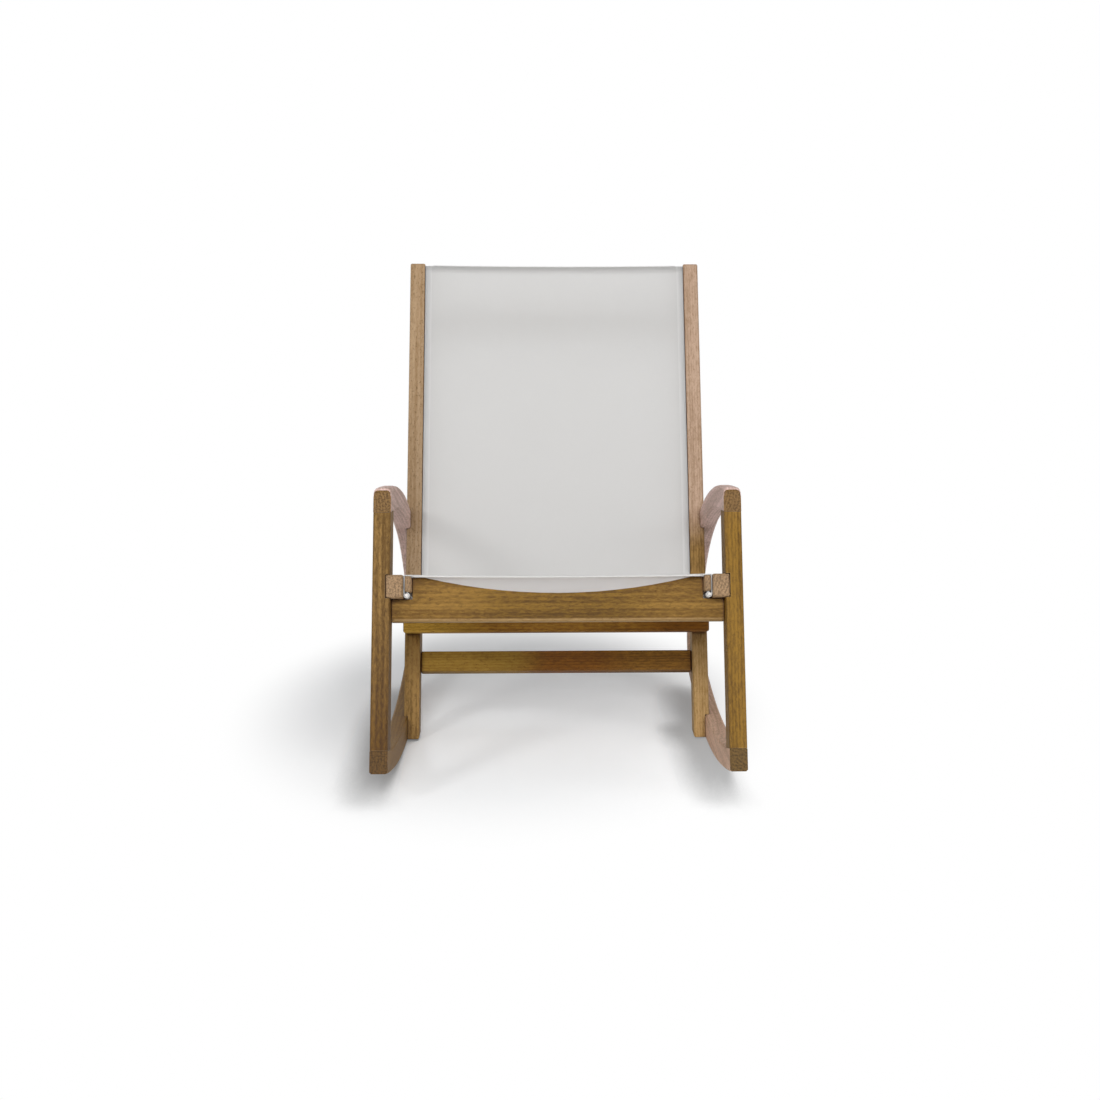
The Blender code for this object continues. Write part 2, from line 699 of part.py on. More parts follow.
def make_battens(name, sign):
    upper = SEAT_FRONT - SEAT_UP * BATTEN_DROP
    lower = upper - SEAT_UP * BATTEN_WIDTH
    seat_outline = [
        meet(lower, SEAT_BACK, TOE, LEG_UP),
        meet(lower, SEAT_BACK, SEAT_CLAMP_END, SEAT_UP),
        meet(upper, SEAT_BACK, SEAT_CLAMP_END, SEAT_UP),
        meet(upper, SEAT_BACK, TOE, LEG_UP),
    ]
    bar(f"{name}_seat_batten", seat_outline, sign * BATTEN_INNER, sign * BATTEN_OUTER)
    near = POST_BACK * BATTEN_DROP
    far = POST_BACK * (BATTEN_DROP + BATTEN_WIDTH)
    back_outline = [
        BACK_CLAMP_START + near,
        BACK_CLAMP_START + far,
        BACK_CLAMP_END + far,
        BACK_CLAMP_END + near,
    ]
    bar(f"{name}_back_batten", back_outline, sign * BATTEN_INNER, sign * BATTEN_OUTER)


def make_rod(name, sign, start, end):
    shape = bmesh.new()
    way = place(end, 0.0) - place(start, 0.0)
    profile = [(0.0, ROD_RADIUS), (way.length, ROD_RADIUS)]
    add_turned(shape, place(start, sign * ROD_ACROSS), way.normalized(), profile, ROD_SIDES)
    add_object(name, shape, "rod_plastic")


def make_rods(name, sign):
    seat_start = SEAT_FRONT + SEAT_BACK * SLING_FRONT_INSET
    make_rod(f"{name}_seat_rod", sign, seat_start - SEAT_UP * ROD_DROP, SEAT_CLAMP_END - SEAT_UP * ROD_DROP)
    back_drop = POST_BACK * ROD_DROP
    make_rod(f"{name}_back_rod", sign, BACK_CLAMP_START + back_drop, BACK_CLAMP_END + back_drop)


def sling_rows():
    """Rows of the sling from its front edge to its top: spot, outward direction, sag and clamped or free."""
    rows = []
    start = SEAT_FRONT + SEAT_BACK * SLING_FRONT_INSET
    for step in range(SEAT_ROWS + 1):
        share = step / SEAT_ROWS
        sag = FRONT_SAG + (SEAT_SAG - FRONT_SAG) * math.sin(math.pi / 2 * share)
        rows.append((start.lerp(SEAT_CLAMP_END, share), SEAT_UP, sag, True))
    bend_start = CORNER - SEAT_BACK * CORNER_TANGENT
    bend_middle = bend_start + SEAT_UP * CORNER_RADIUS
    for step in range(CORNER_ROWS + 1):
        outward = leaning(SEAT_SLOPE - CORNER_TURN * step / CORNER_ROWS)
        rows.append((bend_middle - outward * CORNER_RADIUS, outward, SEAT_SAG, False))
    for step in range(BACK_ROWS + 1):
        share = step / BACK_ROWS
        sag = TOP_SAG + (SEAT_SAG - TOP_SAG) * math.cos(math.pi / 2 * share)
        rows.append((BACK_CLAMP_START.lerp(BACK_CLAMP_END, share), -POST_BACK, sag, True))
    return rows


def sleeve_points():
    """Edge of the sling below its slit: down the slit and round the rod."""
    points = []
    for step in range(SLEEVE_STEPS + 1):
        angle = -1.5 * math.pi * step / SLEEVE_STEPS
        across = ROD_ACROSS + SLEEVE_RADIUS * math.cos(angle)
        points.append((across, -ROD_DROP + SLEEVE_RADIUS * math.sin(angle)))
    return points


def make_sling():
    shape = bmesh.new()
    spread = [BATTEN_INNER * (2 * column / SLING_COLUMNS - 1) for column in range(SLING_COLUMNS + 1)]
    spread = [-SLIT_MIDDLE] + spread + [SLIT_MIDDLE]
    sleeve = sleeve_points()
    previous = None
    for spot, outward, sag, clamped in sling_rows():
        sheet = []
        for across in spread:
            fall = sag * max(0.0, 1 - (across / BATTEN_INNER) ** 2)
            sheet.append(shape.verts.new(place(spot - outward * (CLOTH_DROP + fall), across)))
        edges = {}
        if clamped:
            for sign in (-1, 1):
                spots = [place(spot + outward * height, sign * across) for across, height in sleeve]
                edges[sign] = [shape.verts.new(point) for point in spots]
        left = list(reversed(edges[-1])) if clamped else []
        right = edges[1] if clamped else []
        row = (sheet, left + sheet[:1], sheet[-1:] + right)
        if previous:
            for strip, earlier in zip(row, previous):
                if len(strip) == len(earlier):
                    for k in range(len(strip) - 1):
                        shape.faces.new((strip[k], strip[k + 1], earlier[k + 1], earlier[k]))
        previous = row
    sling = add_object("sling", shape, "sling_cloth")
    thickness = sling.modifiers.new("cloth", "SOLIDIFY")
    thickness.thickness = CLOTH_THICKNESS
    thickness.offset = 0.0
    thickness.use_even_offset = True


# Joints

def tenon_in_loop(piece, mortised, label, sign, middle, way, width, length):
    """A tenon at the end of a loop's piece, in the middle of its thickness, and its mortise."""
    thin = TENON_THICKNESS / 2
    across = sign * LOOP_MIDDLE
    outline = rectangle(middle, way, -TENON_ROOT, length, width)
    join_block(piece, label, outline, across - thin, across + thin)
    wide = thin + GAP
    outline = rectangle(middle, way, -TENON_ROOT, length + END_PLAY, width + 2 * GAP)
    cut_block(mortised, label, outline, across - wide, across + wide)


def leg_tenons(name, sign):
    leg_middle = TOE + LEG_BACK * (LEG_DEPTH / 2)
    leg = f"{name}_front_leg"
    top = meet(leg_middle, LEG_UP, leg_top_line(), ARM_RUN)
    tenon_in_loop(leg, f"{name}_arm", "top_tenon", sign, top, LEG_UP, LEG_TENON_WIDTH, LEG_TENON_LENGTH)
    foot = rocker_top_on(leg_middle, LEG_BACK)
    tenon_in_loop(leg, f"{name}_rocker", "foot_tenon", sign, foot, -LEG_UP, LEG_TENON_WIDTH, LEG_TENON_LENGTH)


def loose_tenon(name, sign, middle, way, pieces):
    """A loose tenon, half in each of two pieces of a loop."""
    thin = TENON_THICKNESS / 2
    half = LOOSE_TENON_LENGTH / 2
    across = sign * LOOP_MIDDLE
    block(name, rectangle(middle, way, -half, half, LOOSE_TENON_WIDTH), across - thin, across + thin)
    wide = thin + GAP
    past = half + END_PLAY
    outline = rectangle(middle, way, -past, past, LOOSE_TENON_WIDTH + 2 * GAP)
    for piece in pieces:
        cut_block(piece, name, outline, across - wide, across + wide)


def heel_tenons(name, sign):
    heel = f"{name}_heel"
    spot, heading = arm_curve()[ARM_JOINT_STEP]
    middle = spot + Vector((heading.y, -heading.x)) * (ARM_DEPTH / 2)
    loose_tenon(f"{name}_arm_tenon", sign, middle, heading, [f"{name}_arm", heel])
    heading = sloping(math.pi - HEEL_ANGLE)
    middle = on_rocker(HEEL_ANGLE, ROCKER_RADIUS - ROCKER_REAR_DEPTH / 2)
    loose_tenon(f"{name}_rocker_tenon", sign, middle, heading, [f"{name}_rocker", heel])


def tenon_across(piece, mortised, label, sign, face, middle, way, width, length):
    """A tenon at the end of a cross piece, into the face at a distance across the chair, and its mortise."""
    outline = rectangle(middle, way, -width / 2, width / 2, TENON_THICKNESS)
    join_block(piece, label, outline, sign * (face - TENON_ROOT), sign * (face + length))
    half = width / 2 + GAP
    outline = rectangle(middle, way, -half, half, TENON_THICKNESS + 2 * GAP)
    cut_block(mortised, label, outline, sign * (face - CUT_PAST), sign * (face + length + END_PLAY))


def cross_tenons(name, sign):
    """Tenons at one end of the front rail and the stretcher."""
    label = f"{name}_tenon"
    middle = SEAT_FRONT + SEAT_BACK * (FRONT_RAIL_SETBACK + FRONT_RAIL_THICKNESS / 2)
    middle = middle - SEAT_UP * ((FRONT_RAIL_DROP + FRONT_RAIL_HEIGHT + SEAT_RAIL_DEPTH) / 2)
    size = (FRONT_RAIL_TENON_WIDTH, FRONT_RAIL_TENON_LENGTH)
    tenon_across("front_rail", f"{name}_front_leg", label, sign, LOOP_INNER, middle, SEAT_UP, *size)
    middle = stretcher_middle() + POST_BACK * (STRETCHER_THICKNESS / 2)
    size = (STRETCHER_TENON_WIDTH, STRETCHER_TENON_LENGTH)
    tenon_across("lower_stretcher", f"{name}_back_post", label, sign, FRAME_INNER, middle, POST_UP, *size)


def arm_crossing():
    """Where the middle of the arm's depth crosses the middle of the post's depth."""
    middle = POST_FRONT + POST_BACK * (POST_DEPTH / 2)
    line = [spot + Vector((heading.y, -heading.x)) * (ARM_DEPTH / 2) for spot, heading in arm_curve()]
    for near, far in zip(line, line[1:]):
        if (near - middle).dot(POST_BACK) <= 0 < (far - middle).dot(POST_BACK):
            return meet(middle, POST_UP, near, far - near)


def loop_bolts(hardware, name, sign):
    """Bolts through a loop from outside: arm to post, rocker to post and leg to seat rail."""
    inward = -ACROSS * sign
    outer_face = sign * OVERALL_WIDTH / 2
    to_frame = OVERALL_WIDTH / 2 - FRAME_MIDDLE
    post = f"{name}_back_post"
    way = flat(POST_BACK)
    pieces = [f"{name}_arm", post]
    start = place(arm_crossing(), outer_face)
    hardware.bolt(f"{name}_arm_bolt", start, inward, to_frame, way, POST_DEPTH / 2, pieces)
    post_middle = POST_FRONT + POST_BACK * (POST_DEPTH / 2)
    to_foot = OVERALL_WIDTH / 2 - (FRAME_INNER + LOOP_INNER) / 2
    pieces = [f"{name}_rocker", post]
    start = place(at_height(post_middle, POST_UP, ROCKER_BOLT_HEIGHT), outer_face)
    hardware.bolt(f"{name}_rocker_bolt", start, inward, to_foot, way, POST_DEPTH / 2, pieces)
    leg_middle = TOE + LEG_BACK * (LEG_DEPTH / 2)
    rail_middle = SEAT_FRONT - SEAT_UP * (SEAT_RAIL_DEPTH / 2)
    pieces = [f"{name}_front_leg", f"{name}_seat_rail"]
    start = place(meet(rail_middle, SEAT_BACK, leg_middle, LEG_UP), outer_face)
    hardware.bolt(f"{name}_leg_bolt", start, inward, to_frame, -flat(SEAT_UP), SEAT_RAIL_DEPTH / 2, pieces)


def frame_screws(hardware, name, sign):
    """Screws of the inner frame: post to seat rail, rear seat bar to rail and upper bar to post."""
    across = sign * FRAME_MIDDLE
    post = f"{name}_back_post"
    rail = f"{name}_seat_rail"
    rail_middle = SEAT_FRONT - SEAT_UP * (SEAT_RAIL_DEPTH / 2)
    rear = meet(rail_middle, SEAT_BACK, POST_FRONT + POST_BACK * POST_DEPTH, POST_UP)
    front = meet(rail_middle, SEAT_BACK, POST_FRONT, POST_UP)
    through = (rear - front).length
    forward = -flat(SEAT_BACK)
    hardware.coach_screw(f"{name}_coach_screw", place(rear, across), forward, through, [post, rail])
    spot = rear_bar_corner() - SEAT_BACK * (REAR_BAR_DEPTH / 2)
    pieces = ["rear_seat_bar", rail]
    up = flat(SEAT_UP)
    hardware.screw(f"{name}_rear_bar_screw", place(spot, across), up, REAR_BAR_HEIGHT, pieces)
    spot = upper_bar_middle() + POST_BACK * UPPER_BAR_THICKNESS
    pieces = ["upper_back_bar", post]
    forward = -flat(POST_BACK)
    hardware.screw(f"{name}_upper_bar_screw", place(spot, across), forward, UPPER_BAR_THICKNESS, pieces)


def screw_spots(start, end, inset, count):
    """Spots spread evenly along a batten, the first and the last one an inset from its ends."""
    along = (end - start).normalized()
    first = start + along * inset
    last = end - along * inset
    return [first.lerp(last, place_in_row / (count - 1)) for place_in_row in range(count)]


def batten_screws(hardware, name, sign):
    """Screws through a batten and the sling into its rail or post."""
    outward = ACROSS * sign
    across = sign * BATTEN_INNER
    through = BATTEN_THICKNESS + SLIT
    middle = BATTEN_DROP + BATTEN_WIDTH / 2
    pieces = [f"{name}_seat_batten", f"{name}_seat_rail", "sling"]
    spots = screw_spots(SEAT_FRONT, SEAT_CLAMP_END, SEAT_SCREW_END, SEAT_SCREW_COUNT)
    for number, spot in enumerate(spots, 1):
        start = place(spot - SEAT_UP * middle, across)
        hardware.screw(f"{name}_seat_screw_{number}", start, outward, through, pieces)
    pieces = [f"{name}_back_batten", f"{name}_back_post", "sling"]
    spots = screw_spots(BACK_CLAMP_START, BACK_CLAMP_END, BACK_SCREW_END, BACK_SCREW_COUNT)
    for number, spot in enumerate(spots, 1):
        start = place(spot + POST_BACK * middle, across)
        hardware.screw(f"{name}_back_screw_{number}", start, outward, through, pieces)


def main():
    clear_scene()
    for finish in FINISHES:
        make_finish(finish)
    datum = bpy.data.objects.new("chair_datum", None)
    bpy.context.scene.collection.objects.link(datum)
    datum.location = (0.0, -OVERALL_DEPTH / 2, 0.0)
    make_front_rail()
    make_rear_bar()
    make_stretcher()
    make_upper_bar()
    make_sling()
    hardware = Hardware()
    for name, sign in SIDES:
        make_leg(name, sign)
        make_arm(name, sign)
        make_heel(name, sign)
        make_rocker(name, sign)
        make_post(name, sign)
        make_seat_rail(name, sign)
        make_battens(name, sign)
        make_rods(name, sign)
        leg_tenons(name, sign)
        heel_tenons(name, sign)
        cross_tenons(name, sign)
        loop_bolts(hardware, name, sign)
        frame_screws(hardware, name, sign)
        batten_screws(hardware, name, sign)
    hardware.cut_holes()


main()
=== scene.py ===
"""Looks of the outdoor rocking chair: wood, a clamped sling, plated screws, a pale floor and soft light.

Metres, +Z up, the front towards -Y. The side view is drawn from the toe of the rocker, as flat vectors
whose first number runs back and whose second number runs up from the floor.
"""

import math
from collections import namedtuple

import bmesh
import bpy
from mathutils import Euler, Matrix, Vector


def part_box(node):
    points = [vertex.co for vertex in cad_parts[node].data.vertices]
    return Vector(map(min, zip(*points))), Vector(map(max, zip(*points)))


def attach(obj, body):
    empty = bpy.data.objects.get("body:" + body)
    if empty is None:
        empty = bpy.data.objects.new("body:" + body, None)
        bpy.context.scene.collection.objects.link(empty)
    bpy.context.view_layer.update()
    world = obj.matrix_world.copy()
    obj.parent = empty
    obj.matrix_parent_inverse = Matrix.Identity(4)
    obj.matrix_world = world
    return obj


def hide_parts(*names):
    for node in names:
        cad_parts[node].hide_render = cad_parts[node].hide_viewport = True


# Camera, fitted to the photograph's frame
FRAME_PIXELS = 1100
FOCAL_PIXELS = 1869.0
SENSOR_WIDTH = 36.0
AXIS_PIXEL = 610.0          # where the optical axis meets the frame, from its left edge
CAMERA_PLACE = Vector((-0.0281, -3.4922, 0.8993))
CAMERA_PITCH = math.radians(8.704)
CAMERA_YAW = math.radians(2.119)
CAMERA_ROLL = math.radians(0.121)

# Chair sizes that the sling follows
OVERALL_DEPTH = 0.951
OVERALL_WIDTH = 0.630
LOOP_THICKNESS = 0.030
HOUSING_DEPTH = 0.008
RAIL_THICKNESS = 0.030
GAP = 0.0003
ROCKER_RADIUS = 2.070
ROCKER_LOW_POINT = 0.505
LEG_LEAN = math.radians(20.6)
SEAT_FRONT_HEIGHT = 0.378
SEAT_SLOPE = math.radians(14.0)
SEAT_RAIL_DEPTH = 0.040
POST_FOOT = 0.457
POST_RECLINE = math.radians(23.4)
POST_HEIGHT = 0.900
BATTEN_THICKNESS = 0.011
CLOTH_THICKNESS = 0.0016
CLOTH_PLAY = 0.0004
ROD_RADIUS = 0.003
CORNER_RADIUS = 0.045
CORNER_PAST = 0.004
SLING_FRONT_INSET = 0.002
SLING_TOP_DROP = 0.006
SLEEVE_TURN = 1.5 * math.pi     # round the rod
FRONT_SAG = 0.002
SEAT_SAG = 0.010
TOP_SAG = 0.005

# Fineness of the sling's mesh
SEAT_ROWS = 24
CORNER_ROWS = 12
BACK_ROWS = 36
SLING_COLUMNS = 40
SLEEVE_STEPS = 14

# Hems and stitches of the sling
HEM_WIDTH = 0.012
HEM_PLAY = 0.0004
HEM_LAYER = CLOTH_THICKNESS + HEM_PLAY  # from the sheet's middle to the middle of the layer folded under it
HEM_STEPS = 6
FOLD_STEPS = 8
STITCH_INSET = 0.003        # from the hem's inner end
STITCH_LENGTH = 0.0032
STITCH_PITCH = 0.0045
STITCH_RADIUS = 0.0004

# Textures: features per metre along each axis, then the noise's make-up; in wood the third axis is the grain
Texture = namedtuple("Texture", "scales detail roughness distortion", defaults=(0.55, 0.0))
WANDER = Texture((9.0, 9.0, 1.6), 2.0)
STREAKS = Texture((62.0, 62.0, 2.4), 4.0, 0.58, 0.3)
FIBRES = Texture((300.0, 300.0, 75.0), 5.0, 0.72)
FLECKS = Texture((360.0, 360.0, 170.0), 2.0, 0.60, 0.3)
TURNING_MARKS = Texture((60.0, 900.0, 900.0), 3.0)
SLUBS = Texture((90.0, 900.0, 1.0), 3.0)
THREAD_TWIST = Texture((2400.0, 900.0, 900.0), 2.0)

# Wood: the shares that make up its figure, and ranges over which one look turns into another
RING_SCALE = 60.0
RING_STRETCH = (1.0, 1.0, 0.05)
PORES_PER_METRE = 330.0
HEART_START = (0.035, 0.060)    # heart of the tree beside a board, across the grain
HEART_STEP = (0.012, -0.017)    # from one board's heart to the next one's
HEART_ROUND = (5, 7)            # steps after which these places come round again
HEART_ALONG = 0.71              # along the grain, times the board's number
RING_SHARE = 0.07
STREAK_SHARE = 0.46
FIBRE_SHARE = 0.58
WANDER_SHARE = 0.20
FIGURE_RANGE = (0.50, 0.80)     # from the shade to the body of a tone
FLECK_RANGE = (0.56, 0.70)
FLECK_SHARE = 0.44
FLECK_DEPTH = 0.8               # against the height of the fibres
END_RANGE = (0.72, 0.94)        # how squarely a face crosses the grain before it shows end grain
PORE_RANGE = (0.42, 0.62)
END_RING_SHARE = 0.36
END_PORE_SHARE = 0.74
END_DARK = 0.42                 # how dark the rings and pores of the end grain are against the rest
EDGE_RADIUS = 0.002
EDGE_RANGE = (0.995, 0.90)      # how far a rounded edge still looks the face's way
EDGE_RUB = 0.45
CORNER_REACH = 0.010            # painted shade in corners: how near another face has to be to darken a corner
CORNER_RANGE = (0.78, 0.34)     # open share of the view where that begins and is full
GRAIN_DEPTH = 0.0003
WOOD_ROUGHNESS = (0.22, 0.44)   # the fibres' share, and the least roughness
FRONT_RAIL_DIM = 0.90           # these boards against the tones that they take
# the stretcher's darker copy of the rear bar's tone is painted shade
STRETCHER_SHADE_DIM = 0.62
# the left post's darker copy of its upper tone, just above the seat, is painted shade
POST_SHADE_DIM = 0.79
ARM_GRAIN_SLOPE = math.radians(14.0)
RAIL_HIGHLIGHT_EDGE = (-0.2090, -0.2045)    # where the painted highlight along the rail's lower edge starts and is full, down square to the seat

# Metal, plastic and cloth: patches, spots and clouds are features per metre
STEEL_PATCHES = 260.0
STEEL_ROUGHNESS = (0.3, 0.2)    # the marks' share, and the least roughness
CHALK_SPOTS = 420.0
ROD_ROUGHNESS = (0.2, 0.45)     # the spots' share, and the least roughness
THREADS_PER_METRE = 1300.0
CLOTH_CLOUDS = 9.0
SLUB_SHARE = 0.25
CLOUD_SHARE = 0.10
UNDERSIDE_LIGHT_RANGE = (-0.1, -0.3)      # how far a face looks down before it gets the painted light of the underside
# softness of the edge of the painted light over the battens
BATTEN_LIGHT_BLUR = 0.001
WEAVE_DEPTH = 0.0003
LIGHT_THROUGH = 0.43            # share of the threads that lets light through
SEE_THROUGH = 0.10              # open share of each face of the mesh

# Light levels: the world all round, and square lamps given as place, aim, size and watts
WORLD_LIGHT = 0.20
LAMPS = {
    "left_key": (Vector((-2.5, -4.0, 2.55)), Vector((0.0, 0.0, 0.4)), 0.9, 50.0),
    "front_key": (Vector((0.0, -4.9, 2.2)), Vector((0.0, 0.0, 0.3)), 1.2, 152.0),
    "right_key": (Vector((3.3, -2.5, 2.9)), Vector((0.0, 0.0, 0.3)), 2.6, 36.0),
}

# Floor
FLOOR_HALF_SIZE = 30.0
FLOOR_DROP = 0.0002             # under the chair's lowest point
FLOOR_CLOUDS = 1.5
FLOOR_LIFT = 0.215              # light added to the floor where the camera sees it
FADE_MIDDLE = (-0.11, 0.31, 0.0)
FADE_REACH = (0.57, 1.02)       # half width and half depth of the oval by which the floor fades to white
FADE_START = 0.52               # share of that oval where the fade begins
# Painted shadow on the floor beside the pieces close to it, made in the floor's material rather than by a
# lamp
CONTACT_REACH = 0.10            # how near a piece has to be to put a painted shadow on the floor beside it
CONTACT_SIDE = (0.64, 0.15, 0.75)       # the painted shadow falls away from this side, as if a light stood there
CONTACT_RANGE = (0.96, 0.60)    # open share of the view where that painted shadow begins and is full
CONTACT_SHADE = 0.52

ROOT = "root"


# Directions and points of the side view

def sloping(angle):
    """Direction that runs back and falls by the angle."""
    return Vector((math.cos(angle), -math.sin(angle)))


def leaning(angle):
    """Direction that runs up and leans back by the angle."""
    return Vector((math.sin(angle), math.cos(angle)))


def meet(point, direction, other_point, other_direction):
    """Where two lines of the side view cross."""
    turned = Vector((other_direction.y, -other_direction.x))
    return point + direction * ((other_point - point).dot(turned) / direction.dot(turned))


def at_height(point, direction, height):
    """The point of a line at a height above the floor."""
    return point + direction * ((height - point.y) / direction.y)


def place(spot, across):
    """A point of the side view, at a distance across the chair, in the chair's frame."""
    return Vector((across, spot.x - OVERALL_DEPTH / 2, spot.y))


TOE = Vector((0.0, ROCKER_RADIUS - math.sqrt(ROCKER_RADIUS**2 - ROCKER_LOW_POINT**2)))
LEG_UP = leaning(LEG_LEAN)
SEAT_BACK = sloping(SEAT_SLOPE)
SEAT_UP = leaning(SEAT_SLOPE)
SEAT_FRONT = at_height(TOE, LEG_UP, SEAT_FRONT_HEIGHT)
POST_UP = leaning(POST_RECLINE)
POST_BACK = sloping(POST_RECLINE)
POST_FRONT = Vector((POST_FOOT, 0.0))
POST_TOP = at_height(POST_FRONT, POST_UP, POST_HEIGHT)
CORNER = meet(SEAT_FRONT, SEAT_BACK, POST_FRONT, POST_UP)
CORNER_TURN = math.pi / 2 + SEAT_SLOPE - POST_RECLINE
CORNER_TANGENT = CORNER_RADIUS * math.tan(CORNER_TURN / 2)
SEAT_CLAMP_END = CORNER - SEAT_BACK * (CORNER_TANGENT + CORNER_PAST)
BACK_CLAMP_START = CORNER + POST_UP * (CORNER_TANGENT + CORNER_PAST)
BACK_CLAMP_END = POST_TOP - POST_UP * SLING_TOP_DROP
FRAME_INNER = OVERALL_WIDTH / 2 - LOOP_THICKNESS + HOUSING_DEPTH - GAP - RAIL_THICKNESS
SLIT = CLOTH_THICKNESS + 2 * CLOTH_PLAY
SLIT_MIDDLE = FRAME_INNER - SLIT / 2
BATTEN_INNER = FRAME_INNER - SLIT - BATTEN_THICKNESS
CLOTH_DROP = GAP + CLOTH_THICKNESS / 2
SLEEVE_RADIUS = ROD_RADIUS + CLOTH_PLAY + CLOTH_THICKNESS / 2
SLING_FRONT = SEAT_FRONT + SEAT_BACK * SLING_FRONT_INSET
SLEEVE_HEIGHT = 2 * SLEEVE_RADIUS + CLOTH_THICKNESS
ROD_ACROSS = SLIT_MIDDLE - SLEEVE_RADIUS
ROD_DROP = SEAT_RAIL_DEPTH - GAP - SLEEVE_HEIGHT / 2


# Nodes of a material or of the world

COLOUR_INPUTS = (6, 7)      # places of the colour sockets on a mix node, which share their names with others
COLOUR_OUTPUT = 2


class Sketch:
    """A node tree, with short calls to add nodes and to wire them."""

    def __init__(self, owner):
        owner.use_nodes = True
        self.owner = owner
        self.nodes = owner.node_tree.nodes
        self.links = owner.node_tree.links

    def add(self, kind, values=None, **settings):
        """A node with its settings and inputs."""
        node = self.nodes.new(kind)
        for key, value in settings.items():
            setattr(node, key, value)
        self.feed(node, values or {})
        return node

    def feed(self, node, values):
        """Sets a node's inputs, or wires those that are given as sockets."""
        for key, value in values.items():
            if isinstance(value, bpy.types.NodeSocket):
                self.links.new(value, node.inputs[key])
            else:
                node.inputs[key].default_value = value

    def shader(self):
        return self.nodes["Principled BSDF"]

    def show(self, shader):
        """Makes a shader the material's surface."""
        self.feed(self.nodes["Material Output"], {"Surface": shader.outputs[0]})

    def coordinates(self):
        """Places in the piece's own frame."""
        return self.add("ShaderNodeTexCoord").outputs["Object"]

    def true_normal(self):
        return self.add("ShaderNodeNewGeometry").outputs["True Normal"]

    def math(self, operation, first, second=0.0):
        return self.add("ShaderNodeMath", {0: first, 1: second}, operation=operation).outputs[0]

    def scaled(self, value, share, start):
        """A value times a share, on top of a start."""
        return self.math("ADD", self.math("MULTIPLY", value, share), start)

    def weighted(self, *parts):
        """Sum of values, each times its share."""
        (value, share), *others = parts
        total = self.math("MULTIPLY", value, share)
        for value, share in others:
            total = self.math("ADD", total, self.math("MULTIPLY", value, share))
        return total

    def dot(self, vector, other):
        """How far a vector reaches along another."""
        values = {0: vector, 1: other}
        return self.add("ShaderNodeVectorMath", values, operation="DOT_PRODUCT").outputs["Value"]

    def ramp(self, value, low, high):
        """A value stretched so that low becomes 0 and high becomes 1."""
        values = {"Value": value, "From Min": low, "From Max": high}
        return self.add("ShaderNodeMapRange", values, interpolation_type="SMOOTHSTEP").outputs["Result"]

    def mix(self, share, first, second):
        """A colour that turns from the first into the second."""
        values = {"Factor": share, COLOUR_INPUTS[0]: first, COLOUR_INPUTS[1]: second}
        return self.add("ShaderNodeMix", values, data_type="RGBA").outputs[COLOUR_OUTPUT]

    def mix_shaders(self, share, first, second):
        return self.add("ShaderNodeMixShader", {0: share, 1: first.outputs[0], 2: second.outputs[0]})

    def noise(self, vector, scale, detail=4.0, roughness=0.55, distortion=0.0):
        values = {"Vector": vector, "Scale": scale, "Detail": detail, "Roughness": roughness}
        values["Distortion"] = distortion
        return self.add("ShaderNodeTexNoise", values).outputs["Fac"]

    def stretched(self, vector, scales):
        values = {"Vector": vector, "Scale": scales}
        return self.add("ShaderNodeMapping", values).outputs["Vector"]

    def texture(self, vector, texture):
        """Noise stretched along the axes as a texture says."""
        return self.noise(self.stretched(vector, texture.scales), 1.0, *texture[1:])

    def bump(self, height, strength, depth):
        values = {"Strength": strength, "Distance": depth, "Height": height}
        return self.add("ShaderNodeBump", values).outputs["Normal"]


def new_material(name):
    return Sketch(bpy.data.materials.new(name))


def dress(thing, material):
    """Puts one material on every slot of a piece."""
    thing.data.materials.clear()
    thing.data.materials.append(material)


def colour(red, green, blue):
    return (red, green, blue, 1.0)


def darker(tint, share):
    return colour(*[value * share for value in tint[:3]])


# Tones of the wood: a tone that others only turn into has no flecks or end grain of its own

Tone = namedtuple("Tone", "body shade fleck end", defaults=(None, None))

GOLDEN = Tone(
    body=colour(0.249, 0.132, 0.017),
    shade=colour(0.086, 0.039, 0.003),
    fleck=colour(0.062, 0.026, 0.003),
    end=colour(0.160, 0.095, 0.036),
)
STRAW = Tone(
    body=colour(0.281, 0.154, 0.030),
    shade=colour(0.123, 0.058, 0.007),
)
BROWN = Tone(
    body=colour(0.310, 0.178, 0.052),
    shade=colour(0.111, 0.056, 0.011),
    fleck=colour(0.062, 0.030, 0.007),
    end=colour(0.140, 0.085, 0.034),
)
# the left front leg's lower part, darker: painted shade
DEEP_SHADE = Tone(
    body=colour(0.118, 0.052, 0.003),
    shade=colour(0.040, 0.014, 0.001),
    fleck=colour(0.034, 0.014, 0.002),
    end=colour(0.110, 0.062, 0.020),
)
AMBER = Tone(
    body=colour(0.595, 0.347, 0.055),
    shade=colour(0.356, 0.192, 0.022),
    fleck=colour(0.127, 0.057, 0.005),
    end=colour(0.200, 0.120, 0.040),
)
HONEY = Tone(
    body=colour(0.457, 0.289, 0.119),
    shade=colour(0.255, 0.145, 0.043),
    fleck=colour(0.177, 0.086, 0.019),
    end=colour(0.300, 0.180, 0.070),
)
